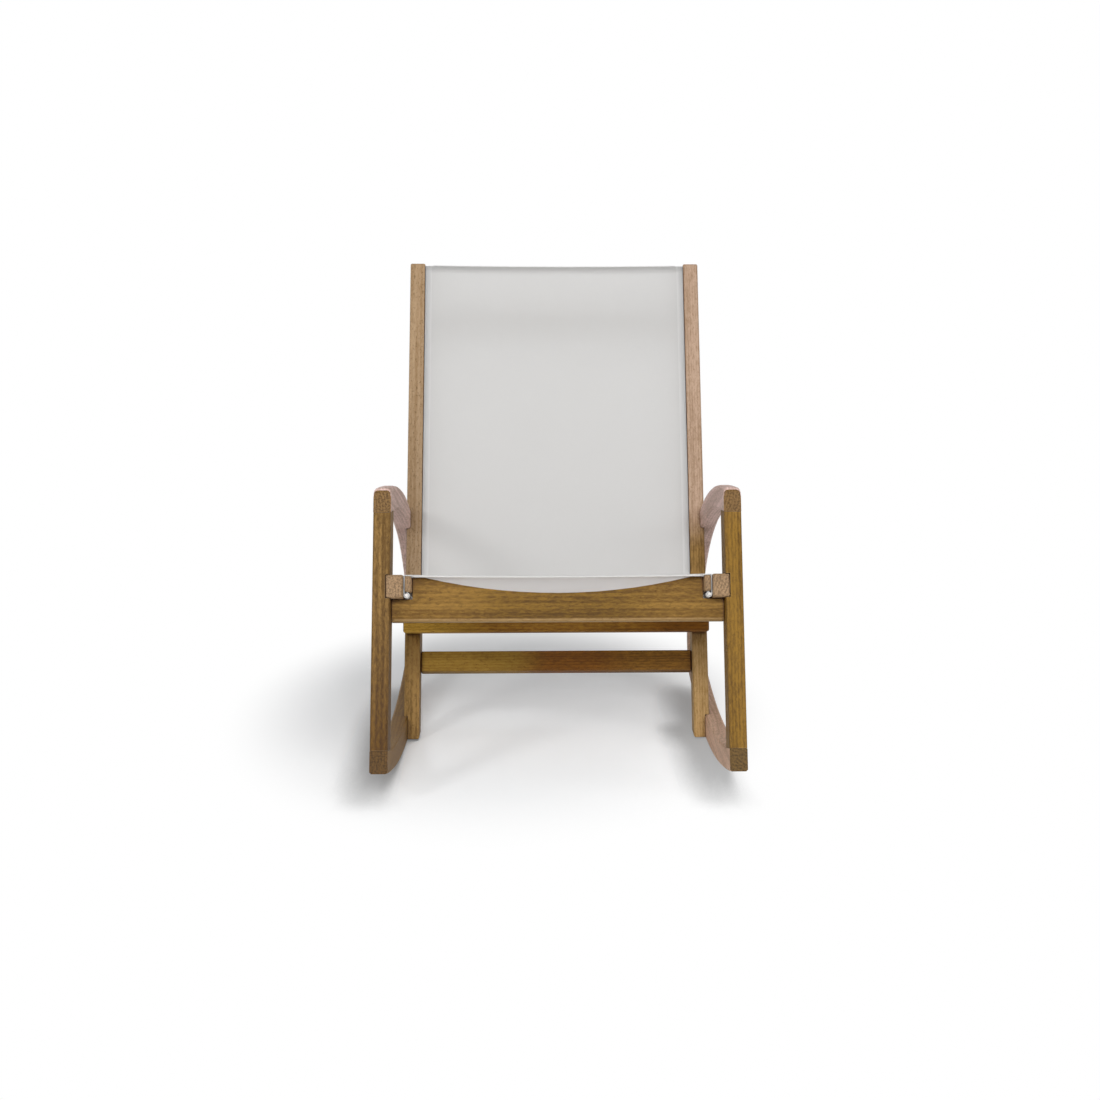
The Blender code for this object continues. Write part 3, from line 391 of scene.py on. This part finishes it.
# painted highlight along the front rail's rounded lower edge
PAINTED_HIGHLIGHT = Tone(
    body=colour(0.402, 0.263, 0.116),
    shade=colour(0.285, 0.173, 0.065),
)
TAN = Tone(
    body=colour(0.445, 0.306, 0.182),
    shade=colour(0.310, 0.195, 0.098),
    fleck=colour(0.230, 0.137, 0.062),
    end=colour(0.375, 0.239, 0.129),
)
PINK_TAN = Tone(
    body=colour(0.521, 0.364, 0.263),
    shade=colour(0.317, 0.202, 0.123),
)
ROSY = Tone(
    body=colour(0.880, 0.645, 0.590),
    shade=colour(0.490, 0.326, 0.258),
    fleck=colour(0.358, 0.228, 0.163),
    end=colour(0.229, 0.128, 0.046),
)
FOOT = Tone(
    body=colour(0.736, 0.487, 0.347),
    shade=colour(0.424, 0.257, 0.158),
    fleck=colour(0.276, 0.163, 0.093),
    end=colour(0.152, 0.086, 0.024),
)
# the left rocker's tone, darker than the right one's: painted shade
SHADED = Tone(
    body=colour(0.241, 0.131, 0.031),
    shade=colour(0.153, 0.075, 0.014),
    fleck=colour(0.097, 0.049, 0.014),
    end=colour(0.119, 0.060, 0.015),
)
RED_BROWN = Tone(
    body=colour(0.379, 0.181, 0.022),
    shade=colour(0.150, 0.063, 0.007),
)
RUSSET = Tone(
    body=colour(0.278, 0.131, 0.017),
    shade=colour(0.110, 0.045, 0.005),
)
MAROON = Tone(
    body=colour(0.254, 0.098, 0.010),
    shade=colour(0.118, 0.041, 0.004),
)
RUBBED = colour(0.520, 0.390, 0.250)
# painted shade in the gaps round end faces
PAINTED_GAP_SHADE = colour(0.022, 0.013, 0.007)
# painted shade in corners, where other faces are near
PAINTED_CORNER_SHADE = colour(0.050, 0.016, 0.008)


def dimmed(tone, share):
    """A tone with all its tints darker by a share."""
    return Tone(*[darker(tint, share) for tint in tone])


# Wood: a board has a grain direction, a tone, blends into other tones, and how dark the painted shade of the
# gap round its end is.
# A blend runs along an axis, from a start to a finish in the chair's frame, and wanders by a distance.

Blend = namedtuple("Blend", "tone axis start finish wander")
Board = namedtuple("Board", "grain tone blends outline", defaults=((), 0.0))


def grain_frame(sketch, turn, middle, seed):
    """Coordinates whose Z runs along the grain, from a heart beside the piece that differs by piece."""
    values = {"Vector": sketch.coordinates(), "Rotation": turn}
    turned = sketch.add("ShaderNodeMapping", values).outputs["Vector"]
    places = zip(HEART_START, HEART_STEP, HEART_ROUND)
    across = [start + step * (seed % turns) for start, step, turns in places]
    heart = Vector((*across, HEART_ALONG * seed))
    shift = heart - Euler(turn).to_matrix() @ middle
    return sketch.add("ShaderNodeMapping", {"Vector": turned, "Location": shift}).outputs["Vector"]


def grain_turn(direction):
    """Rotation that brings a direction, either across the chair or in its side view, onto Z."""
    if abs(direction.x) > 0.5:
        return (0.0, -math.pi / 2, 0.0)
    return (math.atan2(direction.y, direction.z), 0.0, 0.0)


def blended(sketch, tone, blends, wander):
    """A tone's body and shade, which turn into other tones' past places along the piece."""
    body, shade = tone.body, tone.shade
    for blend in blends:
        reach = sketch.dot(sketch.coordinates(), blend.axis)
        reach = sketch.math("ADD", reach, sketch.math("MULTIPLY", wander, blend.wander))
        share = sketch.ramp(reach, blend.start + blend.wander / 2, blend.finish + blend.wander / 2)
        body = sketch.mix(share, body, blend.tone.body)
        shade = sketch.mix(share, shade, blend.tone.shade)
    return body, shade


def growth_rings(sketch, grain):
    values = {
        "Vector": sketch.stretched(grain, RING_STRETCH),
        "Scale": RING_SCALE,
        "Distortion": 3.0,
        "Detail": 3.0,
        "Detail Scale": 1.4,
        "Detail Roughness": 0.6,
    }
    wave = sketch.add("ShaderNodeTexWave", values, wave_type="RINGS", rings_direction="Z")
    return wave.outputs["Fac"]


def end_tint(sketch, grain, rings, tone):
    """End grain: dark rings and pores."""
    pores = sketch.noise(grain, PORES_PER_METRE, detail=3.0, roughness=0.65)
    pores = sketch.ramp(pores, *PORE_RANGE)
    rough = sketch.weighted((rings, END_RING_SHARE), (pores, END_PORE_SHARE))
    return sketch.mix(rough, tone.end, darker(tone.end, END_DARK))


def near_edge(sketch, normal):
    """1 on a piece's edges, 0 away from them."""
    rounded = sketch.add("ShaderNodeBevel", {"Radius": EDGE_RADIUS}, samples=4).outputs["Normal"]
    return sketch.ramp(sketch.dot(rounded, normal), *EDGE_RANGE)


def wood_material(name, board, middle, seed):
    """Oiled hardwood: rings, streaks and flecks along the grain, end grain and rubbed edges, with painted
    shade in corners and in the gaps round end faces.
    """
    sketch = new_material(name)
    grain = grain_frame(sketch, grain_turn(board.grain), middle, seed)
    rings = growth_rings(sketch, grain)
    wander = sketch.texture(grain, WANDER)
    streaks = sketch.texture(grain, STREAKS)
    fibres = sketch.texture(grain, FIBRES)
    flecks = sketch.ramp(sketch.texture(grain, FLECKS), *FLECK_RANGE)
    body, shade = blended(sketch, board.tone, board.blends, wander)
    figure = sketch.weighted(
        (rings, RING_SHARE), (streaks, STREAK_SHARE), (fibres, FIBRE_SHARE), (wander, WANDER_SHARE)
    )
    face = sketch.mix(sketch.ramp(figure, *FIGURE_RANGE), shade, body)
    face = sketch.mix(sketch.math("MULTIPLY", flecks, FLECK_SHARE), face, board.tone.fleck)

    normal = sketch.true_normal()
    edge = near_edge(sketch, normal)
    rub = sketch.math("MULTIPLY", edge, sketch.math("MULTIPLY", streaks, EDGE_RUB))
    face = sketch.mix(rub, face, RUBBED)
    end = end_tint(sketch, grain, rings, board.tone)
    # painted shade of the gap round an end face, on that face's edges
    end = sketch.mix(sketch.math("MULTIPLY", edge, board.outline), end, PAINTED_GAP_SHADE)
    end_on = sketch.ramp(sketch.math("ABSOLUTE", sketch.dot(normal, board.grain)), *END_RANGE)
    tint = sketch.mix(end_on, face, end)
    # painted shade in corners, where other faces are near
    corner = sketch.add("ShaderNodeAmbientOcclusion", {"Distance": CORNER_REACH}, samples=6).outputs["AO"]
    tint = sketch.mix(sketch.ramp(corner, *CORNER_RANGE), tint, PAINTED_CORNER_SHADE)

    height = sketch.math("SUBTRACT", fibres, sketch.math("MULTIPLY", flecks, FLECK_DEPTH))
    looks = {
        "Base Color": tint,
        "Roughness": sketch.scaled(fibres, *WOOD_ROUGHNESS),
        "Normal": sketch.bump(height, strength=0.25, depth=GRAIN_DEPTH),
        "Specular IOR Level": 0.13,
    }
    sketch.feed(sketch.shader(), looks)
    return sketch.owner


def side_direction(direction):
    return Vector((0.0, direction.x, direction.y))


def wooden_boards():
    """Grain direction, tone and blends of each wooden node."""
    across = Vector((1.0, 0.0, 0.0))
    level = Vector((0.0, 1.0, 0.0))
    up = Vector((0.0, 0.0, 1.0))
    leg = side_direction(LEG_UP)
    post = side_direction(POST_UP)
    seat = side_direction(SEAT_BACK)
    arm = side_direction(sloping(ARM_GRAIN_SLOPE))
    rail_blends = [Blend(STRAW, across * side, 0.08, 0.20, 0.04) for side in (-1, 1)]
    # a painted highlight along the front rail's lower edge
    rail_blends.append(Blend(PAINTED_HIGHLIGHT, -side_direction(SEAT_UP), *RAIL_HIGHLIGHT_EDGE, 0.001))
    bar_blends = (
        Blend(RED_BROWN, across, -0.24, -0.10, 0.08),
        Blend(MAROON, across, 0.10, 0.24, 0.08),
    )
    stretcher_blends = (
        Blend(MAROON, across, -0.12, -0.03, 0.12),
        Blend(RUSSET, across, 0.04, 0.16, 0.08),
    )
    # the posts are darker low down and turn lighter past the seat towards the arms: painted shade
    left_post_blends = (
        Blend(dimmed(TAN, POST_SHADE_DIM), up, 0.24, 0.32, 0.06),
        Blend(TAN, up, 0.36, 0.80, 0.06),
    )
    right_post_blends = (
        Blend(BROWN, up, 0.22, 0.32, 0.08),
        Blend(PINK_TAN, up, 0.34, 0.43, 0.08),
    )
    # the left rocker takes a darker tone than the right, and the left heel turns into it towards the floor:
    # painted shade
    heel_blends = {"left": (Blend(SHADED, -up, -0.30, -0.06, 0.04),), "right": ()}
    rocker_tones = {"left": SHADED, "right": FOOT}
    boards = {
        "front_rail": Board(across, dimmed(GOLDEN, FRONT_RAIL_DIM), rail_blends),
        "rear_seat_bar": Board(across, AMBER, bar_blends),
        # the stretcher's darker copy of the rear bar's tone: painted shade
        "lower_stretcher": Board(across, dimmed(AMBER, STRETCHER_SHADE_DIM), stretcher_blends),
        "upper_back_bar": Board(across, GOLDEN),
        # darker towards its foot: painted shade
        "left_front_leg": Board(leg, DEEP_SHADE, (Blend(BROWN, up, 0.00, 0.45, 0.12),)),
        # lighter at its top, under the arm: painted light
        "right_front_leg": Board(leg, GOLDEN, (Blend(STRAW, up, 0.44, 0.51, 0.03),)),
        "left_back_post": Board(post, BROWN, left_post_blends),
        "right_back_post": Board(post, HONEY, right_post_blends),
    }
    for side in ("left", "right"):
        boards[f"{side}_arm"] = Board(arm, ROSY)
        boards[f"{side}_heel"] = Board(up, FOOT, heel_blends[side])
        boards[f"{side}_rocker"] = Board(level, rocker_tones[side])
        boards[f"{side}_seat_rail"] = Board(seat, TAN, outline=1.0)
        boards[f"{side}_seat_batten"] = Board(seat, TAN, outline=1.0)
        boards[f"{side}_back_batten"] = Board(post, TAN)
        boards[f"{side}_arm_tenon"] = Board(up, GOLDEN)
        boards[f"{side}_rocker_tenon"] = Board(level, GOLDEN)
    return boards


def dress_wood(nodes):
    """Gives each wooden node a board of its own, with the grain along the piece."""
    for seed, (node, board) in enumerate(sorted(wooden_boards().items()), 1):
        low, high = (Vector(corner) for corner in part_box(node))
        dress(nodes[node], wood_material(f"{node}_wood", board, (low + high) / 2, seed))


# Metal and plastic

def steel_material():
    """Plated steel with fine turning marks and dull patches."""
    sketch = new_material("plated_steel")
    coordinates = sketch.coordinates()
    patches = sketch.noise(coordinates, STEEL_PATCHES, detail=3.0)
    marks = sketch.texture(coordinates, TURNING_MARKS)
    looks = {
        "Base Color": sketch.mix(patches, colour(0.42, 0.42, 0.41), colour(0.62, 0.62, 0.60)),
        "Roughness": sketch.scaled(marks, *STEEL_ROUGHNESS),
        "Metallic": 1.0,
    }
    sketch.feed(sketch.shader(), looks)
    return sketch.owner


def rod_material():
    """Pale plastic rod, slightly chalky."""
    sketch = new_material("rod_white")
    chalk = sketch.noise(sketch.coordinates(), CHALK_SPOTS)
    looks = {
        "Base Color": sketch.mix(chalk, colour(0.60, 0.57, 0.54), colour(0.72, 0.69, 0.66)),
        "Roughness": sketch.scaled(chalk, *ROD_ROUGHNESS),
    }
    sketch.feed(sketch.shader(), looks)
    return sketch.owner


def dress_hardware(nodes):
    steel = steel_material()
    rod = rod_material()
    for name, node in nodes.items():
        if "bolt" in name or "screw" in name:
            dress(node, steel)
        elif name.endswith("_rod"):
            dress(node, rod)


# Sling

CLOTH_UNDER = colour(0.716, 0.713, 0.705)
CLOTH_OVER = colour(0.777, 0.774, 0.766)
CLOTH_SLUB = colour(0.795, 0.792, 0.785)
CLOTH_CLOUD = colour(0.694, 0.691, 0.682)
# painted light on the underside
CLOTH_PAINTED_UNDERSIDE_LIGHT = colour(0.960, 0.948, 0.942)
# painted light where a batten lies behind the cloth
CLOTH_PAINTED_BATTEN_LIGHT = colour(0.835, 0.832, 0.825)


def cloth_material(name, see_through):
    """Coated mesh cloth: a matte plain weave, with painted light on its underside and where a batten lies
    behind it.

    Some light comes through the threads, and a share of each face is open.
    """
    sketch = new_material(name)
    weave = sketch.add("ShaderNodeUVMap", uv_map="weave").outputs["UV"]
    parts = sketch.add("ShaderNodeSeparateXYZ", {"Vector": weave}).outputs
    waves = [sketch.math("MULTIPLY", parts[axis], THREADS_PER_METRE * math.pi) for axis in ("X", "Y")]
    over = sketch.math("MULTIPLY", *[sketch.math("SINE", wave) for wave in waves])
    slubs = sketch.math("MULTIPLY", sketch.texture(weave, SLUBS), SLUB_SHARE)
    clouds = sketch.math("MULTIPLY", sketch.noise(weave, CLOTH_CLOUDS, detail=3.0), CLOUD_SHARE)
    facing = sketch.add("ShaderNodeSeparateXYZ", {"Vector": sketch.true_normal()}).outputs["Z"]
    aside = sketch.math("ABSOLUTE", parts["X"])
    # painted light where a batten lies behind the cloth
    batten_light = sketch.ramp(aside, BATTEN_INNER - BATTEN_LIGHT_BLUR, BATTEN_INNER + BATTEN_LIGHT_BLUR)
    tint = sketch.mix(sketch.ramp(over, -1.0, 1.0), CLOTH_UNDER, CLOTH_OVER)
    tint = sketch.mix(slubs, tint, CLOTH_SLUB)
    tint = sketch.mix(clouds, tint, CLOTH_CLOUD)
    # painted light on the underside
    tint = sketch.mix(sketch.ramp(facing, *UNDERSIDE_LIGHT_RANGE), tint, CLOTH_PAINTED_UNDERSIDE_LIGHT)
    tint = sketch.mix(batten_light, tint, CLOTH_PAINTED_BATTEN_LIGHT)
    looks = {
        "Base Color": tint,
        "Roughness": 0.78,
        "Specular IOR Level": 0.20,
        "Normal": sketch.bump(over, strength=0.35, depth=WEAVE_DEPTH),
    }
    sketch.feed(sketch.shader(), looks)
    through = sketch.add("ShaderNodeBsdfTranslucent", {"Color": tint})
    cloth = sketch.mix_shaders(LIGHT_THROUGH, sketch.shader(), through)
    sketch.show(sketch.mix_shaders(see_through, cloth, sketch.add("ShaderNodeBsdfTransparent")))
    return sketch.owner


def thread_material():
    """Sewing thread: a twisted light grey yarn."""
    sketch = new_material("sling_thread")
    twist = sketch.texture(sketch.coordinates(), THREAD_TWIST)
    tint = sketch.mix(twist, colour(0.62, 0.61, 0.59), colour(0.80, 0.79, 0.77))
    sketch.feed(sketch.shader(), {"Base Color": tint, "Roughness": 0.85})
    return sketch.owner


def seat_sag(share):
    """Sag in the middle of the seat, from its front edge to its rear end."""
    return FRONT_SAG + (SEAT_SAG - FRONT_SAG) * math.sin(math.pi / 2 * share)


def back_sag(share):
    """Sag in the middle of the back, from its lower end to its top."""
    return TOP_SAG + (SEAT_SAG - TOP_SAG) * math.cos(math.pi / 2 * share)


def fall(sag, across):
    """How far the sheet hangs below its clamps at a distance across the chair."""
    return sag * max(0.0, 1 - (across / BATTEN_INNER) ** 2)


def sling_rows():
    """Rows of the sling from its front edge to its top: spot, outward direction, sag, and clamped or not."""
    rows = []
    for step in range(SEAT_ROWS + 1):
        share = step / SEAT_ROWS
        rows.append((SLING_FRONT.lerp(SEAT_CLAMP_END, share), SEAT_UP, seat_sag(share), True))
    bend_middle = CORNER - SEAT_BACK * CORNER_TANGENT + SEAT_UP * CORNER_RADIUS
    for step in range(CORNER_ROWS + 1):
        outward = leaning(SEAT_SLOPE - CORNER_TURN * step / CORNER_ROWS)
        rows.append((bend_middle - outward * CORNER_RADIUS, outward, SEAT_SAG, False))
    for step in range(BACK_ROWS + 1):
        share = step / BACK_ROWS
        rows.append((BACK_CLAMP_START.lerp(BACK_CLAMP_END, share), -POST_BACK, back_sag(share), True))
    return rows


def sling_section(sag, clamped):
    """Section of the sling, from one sleeve to the other: distances across and heights."""
    sheet = [BATTEN_INNER * (2 * column / SLING_COLUMNS - 1) for column in range(SLING_COLUMNS + 1)]
    section = [(across, -CLOTH_DROP - fall(sag, across)) for across in [-SLIT_MIDDLE] + sheet + [SLIT_MIDDLE]]
    if not clamped:
        return section
    sleeve = []
    for step in range(SLEEVE_STEPS + 1):
        angle = -SLEEVE_TURN * step / SLEEVE_STEPS
        across = ROD_ACROSS + SLEEVE_RADIUS * math.cos(angle)
        sleeve.append((across, -ROD_DROP + SLEEVE_RADIUS * math.sin(angle)))
    mirrored = [(-across, height) for across, height in reversed(sleeve)]
    return mirrored + section + sleeve


def spread_row(shape, section, spot, outward, travelled):
    """Vertices of one row, each with its place on the flat cloth."""
    runs = [0.0]
    for near, far in zip(section, section[1:]):
        runs.append(runs[-1] + math.hypot(far[0] - near[0], far[1] - near[1]))
    row = []
    for run, (across, height) in zip(runs, section):
        vertex = shape.verts.new(place(spot + outward * height, across))
        row.append((vertex, (run - runs[-1] / 2, travelled)))
    return row, runs[-1]


def join_rows(shape, weave, earlier, row):
    """Faces between two rows: only the middle part where one of them has no sleeves."""
    extra = abs(len(earlier) - len(row)) // 2
    if len(earlier) > len(row):
        earlier = earlier[extra : len(earlier) - extra]
    else:
        row = row[extra : len(row) - extra]
    for near, after, far, beyond in zip(row, row[1:], earlier, earlier[1:]):
        corners = (near, after, beyond, far)
        face = shape.faces.new([vertex for vertex, _ in corners])
        for loop, (_, spread) in zip(face.loops, corners):
            loop[weave].uv = spread


def cloth_piece(name, shape, material):
    """Turns a skin into a piece of cloth of the real thickness."""
    bmesh.ops.recalc_face_normals(shape, faces=shape.faces)
    mesh = bpy.data.meshes.new(name)
    shape.to_mesh(mesh)
    shape.free()
    mesh.shade_smooth()
    piece = add_piece(name, mesh, material)
    thickness = piece.modifiers.new("cloth", "SOLIDIFY")
    thickness.thickness = CLOTH_THICKNESS
    thickness.offset = 0.0
    return piece


def add_piece(name, mesh, material):
    """A piece of the sling that rides on the chair."""
    piece = bpy.data.objects.new(name, mesh)
    bpy.context.scene.collection.objects.link(piece)
    dress(piece, material)
    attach(piece, ROOT)
    return piece


def make_sheet(material):
    """The sling's sheet, its sleeves round the rods, and its flat width, length and area."""
    shape = bmesh.new()
    weave = shape.loops.layers.uv.new("weave")
    travelled = 0.0
    width = 0.0
    rows = sling_rows()
    earlier = None
    last_spot = rows[0][0]
    for spot, outward, sag, clamped in rows:
        travelled += (spot - last_spot).length
        last_spot = spot
        row, run = spread_row(shape, sling_section(sag, clamped), spot, outward, travelled)
        width = max(width, run)
        if earlier:
            join_rows(shape, weave, earlier, row)
        earlier = row
    area = sum(face.calc_area() for face in shape.faces)
    return cloth_piece("sling_cloth", shape, material), (width, travelled), area


def hem_path():
    """Side view of a hem: distances in from the sheet's edge, and heights over the sheet's middle."""
    path = [(HEM_WIDTH * (1 - step / HEM_STEPS), -HEM_LAYER) for step in range(HEM_STEPS + 1)]
    radius = HEM_LAYER / 2
    for step in range(1, FOLD_STEPS):
        turn = math.pi * step / FOLD_STEPS
        path.append((-radius * math.sin(turn), -radius - radius * math.cos(turn)))
    return path


def make_hem(name, material, edge, inward, outward, sag_at):
    """An edge of the sling folded under, between the battens."""
    shape = bmesh.new()
    weave = shape.loops.layers.uv.new("weave")
    half = BATTEN_INNER - 2 * CLOTH_THICKNESS
    columns = [half * (2 * column / SLING_COLUMNS - 1) for column in range(SLING_COLUMNS + 1)]
    earlier = None
    for distance, height in hem_path():
        sag = sag_at(max(0.0, distance))
        section = [(across, height - CLOTH_DROP - fall(sag, across)) for across in columns]
        row, _ = spread_row(shape, section, edge + inward * distance, outward, distance)
        if earlier:
            join_rows(shape, weave, earlier, row)
        earlier = row
    return cloth_piece(name, shape, material)


def make_stitches(name, material, edge, inward, outward, sag_at):
    """A row of stitches along a hem, half sunk in the sheet."""
    shape = bmesh.new()
    distance = HEM_WIDTH - STITCH_INSET
    sag = sag_at(distance)
    half_count = int((BATTEN_INNER - HEM_WIDTH / 2) / STITCH_PITCH)
    turn = Matrix.Rotation(math.pi / 2, 4, "Y")
    for count in range(-half_count, half_count + 1):
        across = count * STITCH_PITCH
        height = CLOTH_THICKNESS / 2 - CLOTH_DROP - fall(sag, across)
        spot = place(edge + inward * distance + outward * height, across)
        size = Matrix.Diagonal((STITCH_RADIUS, STITCH_RADIUS, STITCH_LENGTH / 2, 1.0))
        bmesh.ops.create_uvsphere(
            shape, u_segments=6, v_segments=4, radius=1.0, matrix=Matrix.Translation(spot) @ turn @ size
        )
    mesh = bpy.data.meshes.new(name)
    shape.to_mesh(mesh)
    shape.free()
    mesh.shade_smooth()
    return add_piece(name, mesh, material)


def make_sling():
    cloth = cloth_material("sling_mesh", SEE_THROUGH)
    hem_cloth = cloth_material("sling_hem_mesh", 0.0)
    thread = thread_material()
    sheet, flat, area = make_sheet(cloth)
    seat_length = (SEAT_CLAMP_END - SLING_FRONT).length
    back_length = (BACK_CLAMP_END - BACK_CLAMP_START).length
    front = (SLING_FRONT, SEAT_BACK, SEAT_UP, lambda distance: seat_sag(distance / seat_length))
    top = (BACK_CLAMP_END, -POST_UP, -POST_BACK, lambda distance: back_sag(1 - distance / back_length))
    for side, line in (("front", front), ("top", top)):
        make_hem(f"sling_{side}_hem", hem_cloth, *line)
        make_stitches(f"sling_{side}_stitches", thread, *line)
    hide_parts("sling")


# Floor, light and camera

def seen_directly(sketch):
    """1 for what the camera sees directly, in a gloss or through something clear."""
    path = sketch.add("ShaderNodeLightPath")
    seen = sketch.math("MAXIMUM", path.outputs["Is Camera Ray"], path.outputs["Is Glossy Ray"])
    return sketch.math("MAXIMUM", seen, path.outputs["Is Transmission Ray"])


def fade_share(sketch, coordinates):
    """0 round the chair, 1 past the oval by which the floor has faded to white."""
    values = {0: coordinates, 1: FADE_MIDDLE}
    spot = sketch.add("ShaderNodeVectorMath", values, operation="SUBTRACT").outputs["Vector"]
    spot = sketch.stretched(spot, (1 / FADE_REACH[0], 1 / FADE_REACH[1], 1.0))
    away = sketch.add("ShaderNodeVectorMath", {0: spot}, operation="LENGTH").outputs["Value"]
    return sketch.ramp(away, FADE_START, 1.0)


def painted_contact_shadow(sketch):
    """How dark the painted shadow is that a piece close by puts on the floor."""
    side = sketch.add("ShaderNodeVectorMath", {0: CONTACT_SIDE}, operation="NORMALIZE").outputs["Vector"]
    around = {"Distance": CONTACT_REACH, "Normal": side}
    open_share = sketch.add("ShaderNodeAmbientOcclusion", around, samples=16).outputs["AO"]
    return sketch.math("MULTIPLY", sketch.ramp(open_share, *CONTACT_RANGE), CONTACT_SHADE)


def floor_material():
    """White studio floor that keeps the chair's shadow.

    Where it is seen directly it is lifted and slightly cool, has a painted shadow beside the pieces close to
    it, and fades into the white background. The light that it throws back at the chair comes from a plain
    white floor.
    """
    sketch = new_material("studio_floor")
    coordinates = sketch.coordinates()
    seen = seen_directly(sketch)
    clouds = sketch.noise(coordinates, FLOOR_CLOUDS, detail=2.0)
    tint = sketch.mix(clouds, colour(0.89, 0.89, 0.89), colour(0.91, 0.91, 0.91))
    tint = sketch.mix(seen, tint, colour(0.90, 0.92, 0.94))
    sketch.feed(sketch.shader(), {"Base Color": tint, "Roughness": 0.9, "Specular IOR Level": 0.0})
    lift = sketch.add("ShaderNodeEmission", {"Strength": sketch.math("MULTIPLY", seen, FLOOR_LIFT)})
    lit = sketch.add("ShaderNodeAddShader", {0: sketch.shader().outputs[0], 1: lift.outputs[0]})
    white = sketch.add("ShaderNodeEmission", {"Strength": 1.0})
    black = sketch.add("ShaderNodeEmission", {"Strength": 0.0})
    fade = sketch.math("MULTIPLY", fade_share(sketch, coordinates), seen)
    # painted shadow beside the pieces close to the floor
    contact = sketch.math("MULTIPLY", painted_contact_shadow(sketch), seen)
    sketch.show(sketch.mix_shaders(contact, sketch.mix_shaders(fade, lit, white), black))
    return sketch.owner


def make_floor():
    shape = bmesh.new()
    bmesh.ops.create_grid(shape, x_segments=2, y_segments=2, size=FLOOR_HALF_SIZE)
    mesh = bpy.data.meshes.new("studio_floor")
    shape.to_mesh(mesh)
    shape.free()
    floor = bpy.data.objects.new("studio_floor", mesh)
    bpy.context.scene.collection.objects.link(floor)
    floor.location.z = -FLOOR_DROP
    dress(floor, floor_material())


def make_world():
    """White all round for the camera, a softer white for the light that falls on the chair."""
    world = bpy.data.worlds.new("studio")
    bpy.context.scene.world = world
    sketch = Sketch(world)
    levels = {"Value": seen_directly(sketch), "To Min": WORLD_LIGHT, "To Max": 1.0}
    strength = sketch.add("ShaderNodeMapRange", levels).outputs["Result"]
    sketch.feed(sketch.nodes["Background"], {"Color": colour(1.0, 1.0, 1.0), "Strength": strength})


def make_lamps():
    for name, (spot, aim, size, watts) in LAMPS.items():
        light = bpy.data.lights.new(name, "AREA")
        light.shape = "SQUARE"
        light.size = size
        light.energy = watts
        lamp = bpy.data.objects.new(name, light)
        bpy.context.scene.collection.objects.link(lamp)
        lamp.location = spot
        lamp.rotation_euler = (aim - spot).to_track_quat("-Z", "Y").to_euler()


def make_camera():
    forward = Vector(
        (
            math.sin(CAMERA_YAW) * math.cos(CAMERA_PITCH),
            math.cos(CAMERA_YAW) * math.cos(CAMERA_PITCH),
            -math.sin(CAMERA_PITCH),
        )
    )
    level = Vector((math.cos(CAMERA_YAW), -math.sin(CAMERA_YAW), 0.0))
    upward = level.cross(forward)
    right = level * math.cos(CAMERA_ROLL) + upward * math.sin(CAMERA_ROLL)
    upward = right.cross(forward)
    axes = Matrix((right, upward, -forward)).transposed()
    lens = bpy.data.cameras.new("camera")
    lens.sensor_width = SENSOR_WIDTH
    lens.lens = FOCAL_PIXELS / FRAME_PIXELS * SENSOR_WIDTH
    lens.shift_x = (FRAME_PIXELS / 2 - AXIS_PIXEL) / FRAME_PIXELS
    camera = bpy.data.objects.new("camera", lens)
    bpy.context.scene.collection.objects.link(camera)
    camera.matrix_world = Matrix.Translation(CAMERA_PLACE) @ axes.to_4x4()
    bpy.context.scene.camera = camera


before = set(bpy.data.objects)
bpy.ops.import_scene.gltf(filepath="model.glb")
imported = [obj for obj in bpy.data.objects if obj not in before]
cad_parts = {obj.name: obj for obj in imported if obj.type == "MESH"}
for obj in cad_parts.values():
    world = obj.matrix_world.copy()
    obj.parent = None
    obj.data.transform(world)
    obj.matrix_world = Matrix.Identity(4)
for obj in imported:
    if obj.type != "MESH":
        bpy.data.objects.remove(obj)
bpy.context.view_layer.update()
bpy.context.scene.view_settings.view_transform = "Standard"
make_camera()
make_world()
make_lamps()
make_floor()
dress_wood(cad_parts)
dress_hardware(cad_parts)
make_sling()
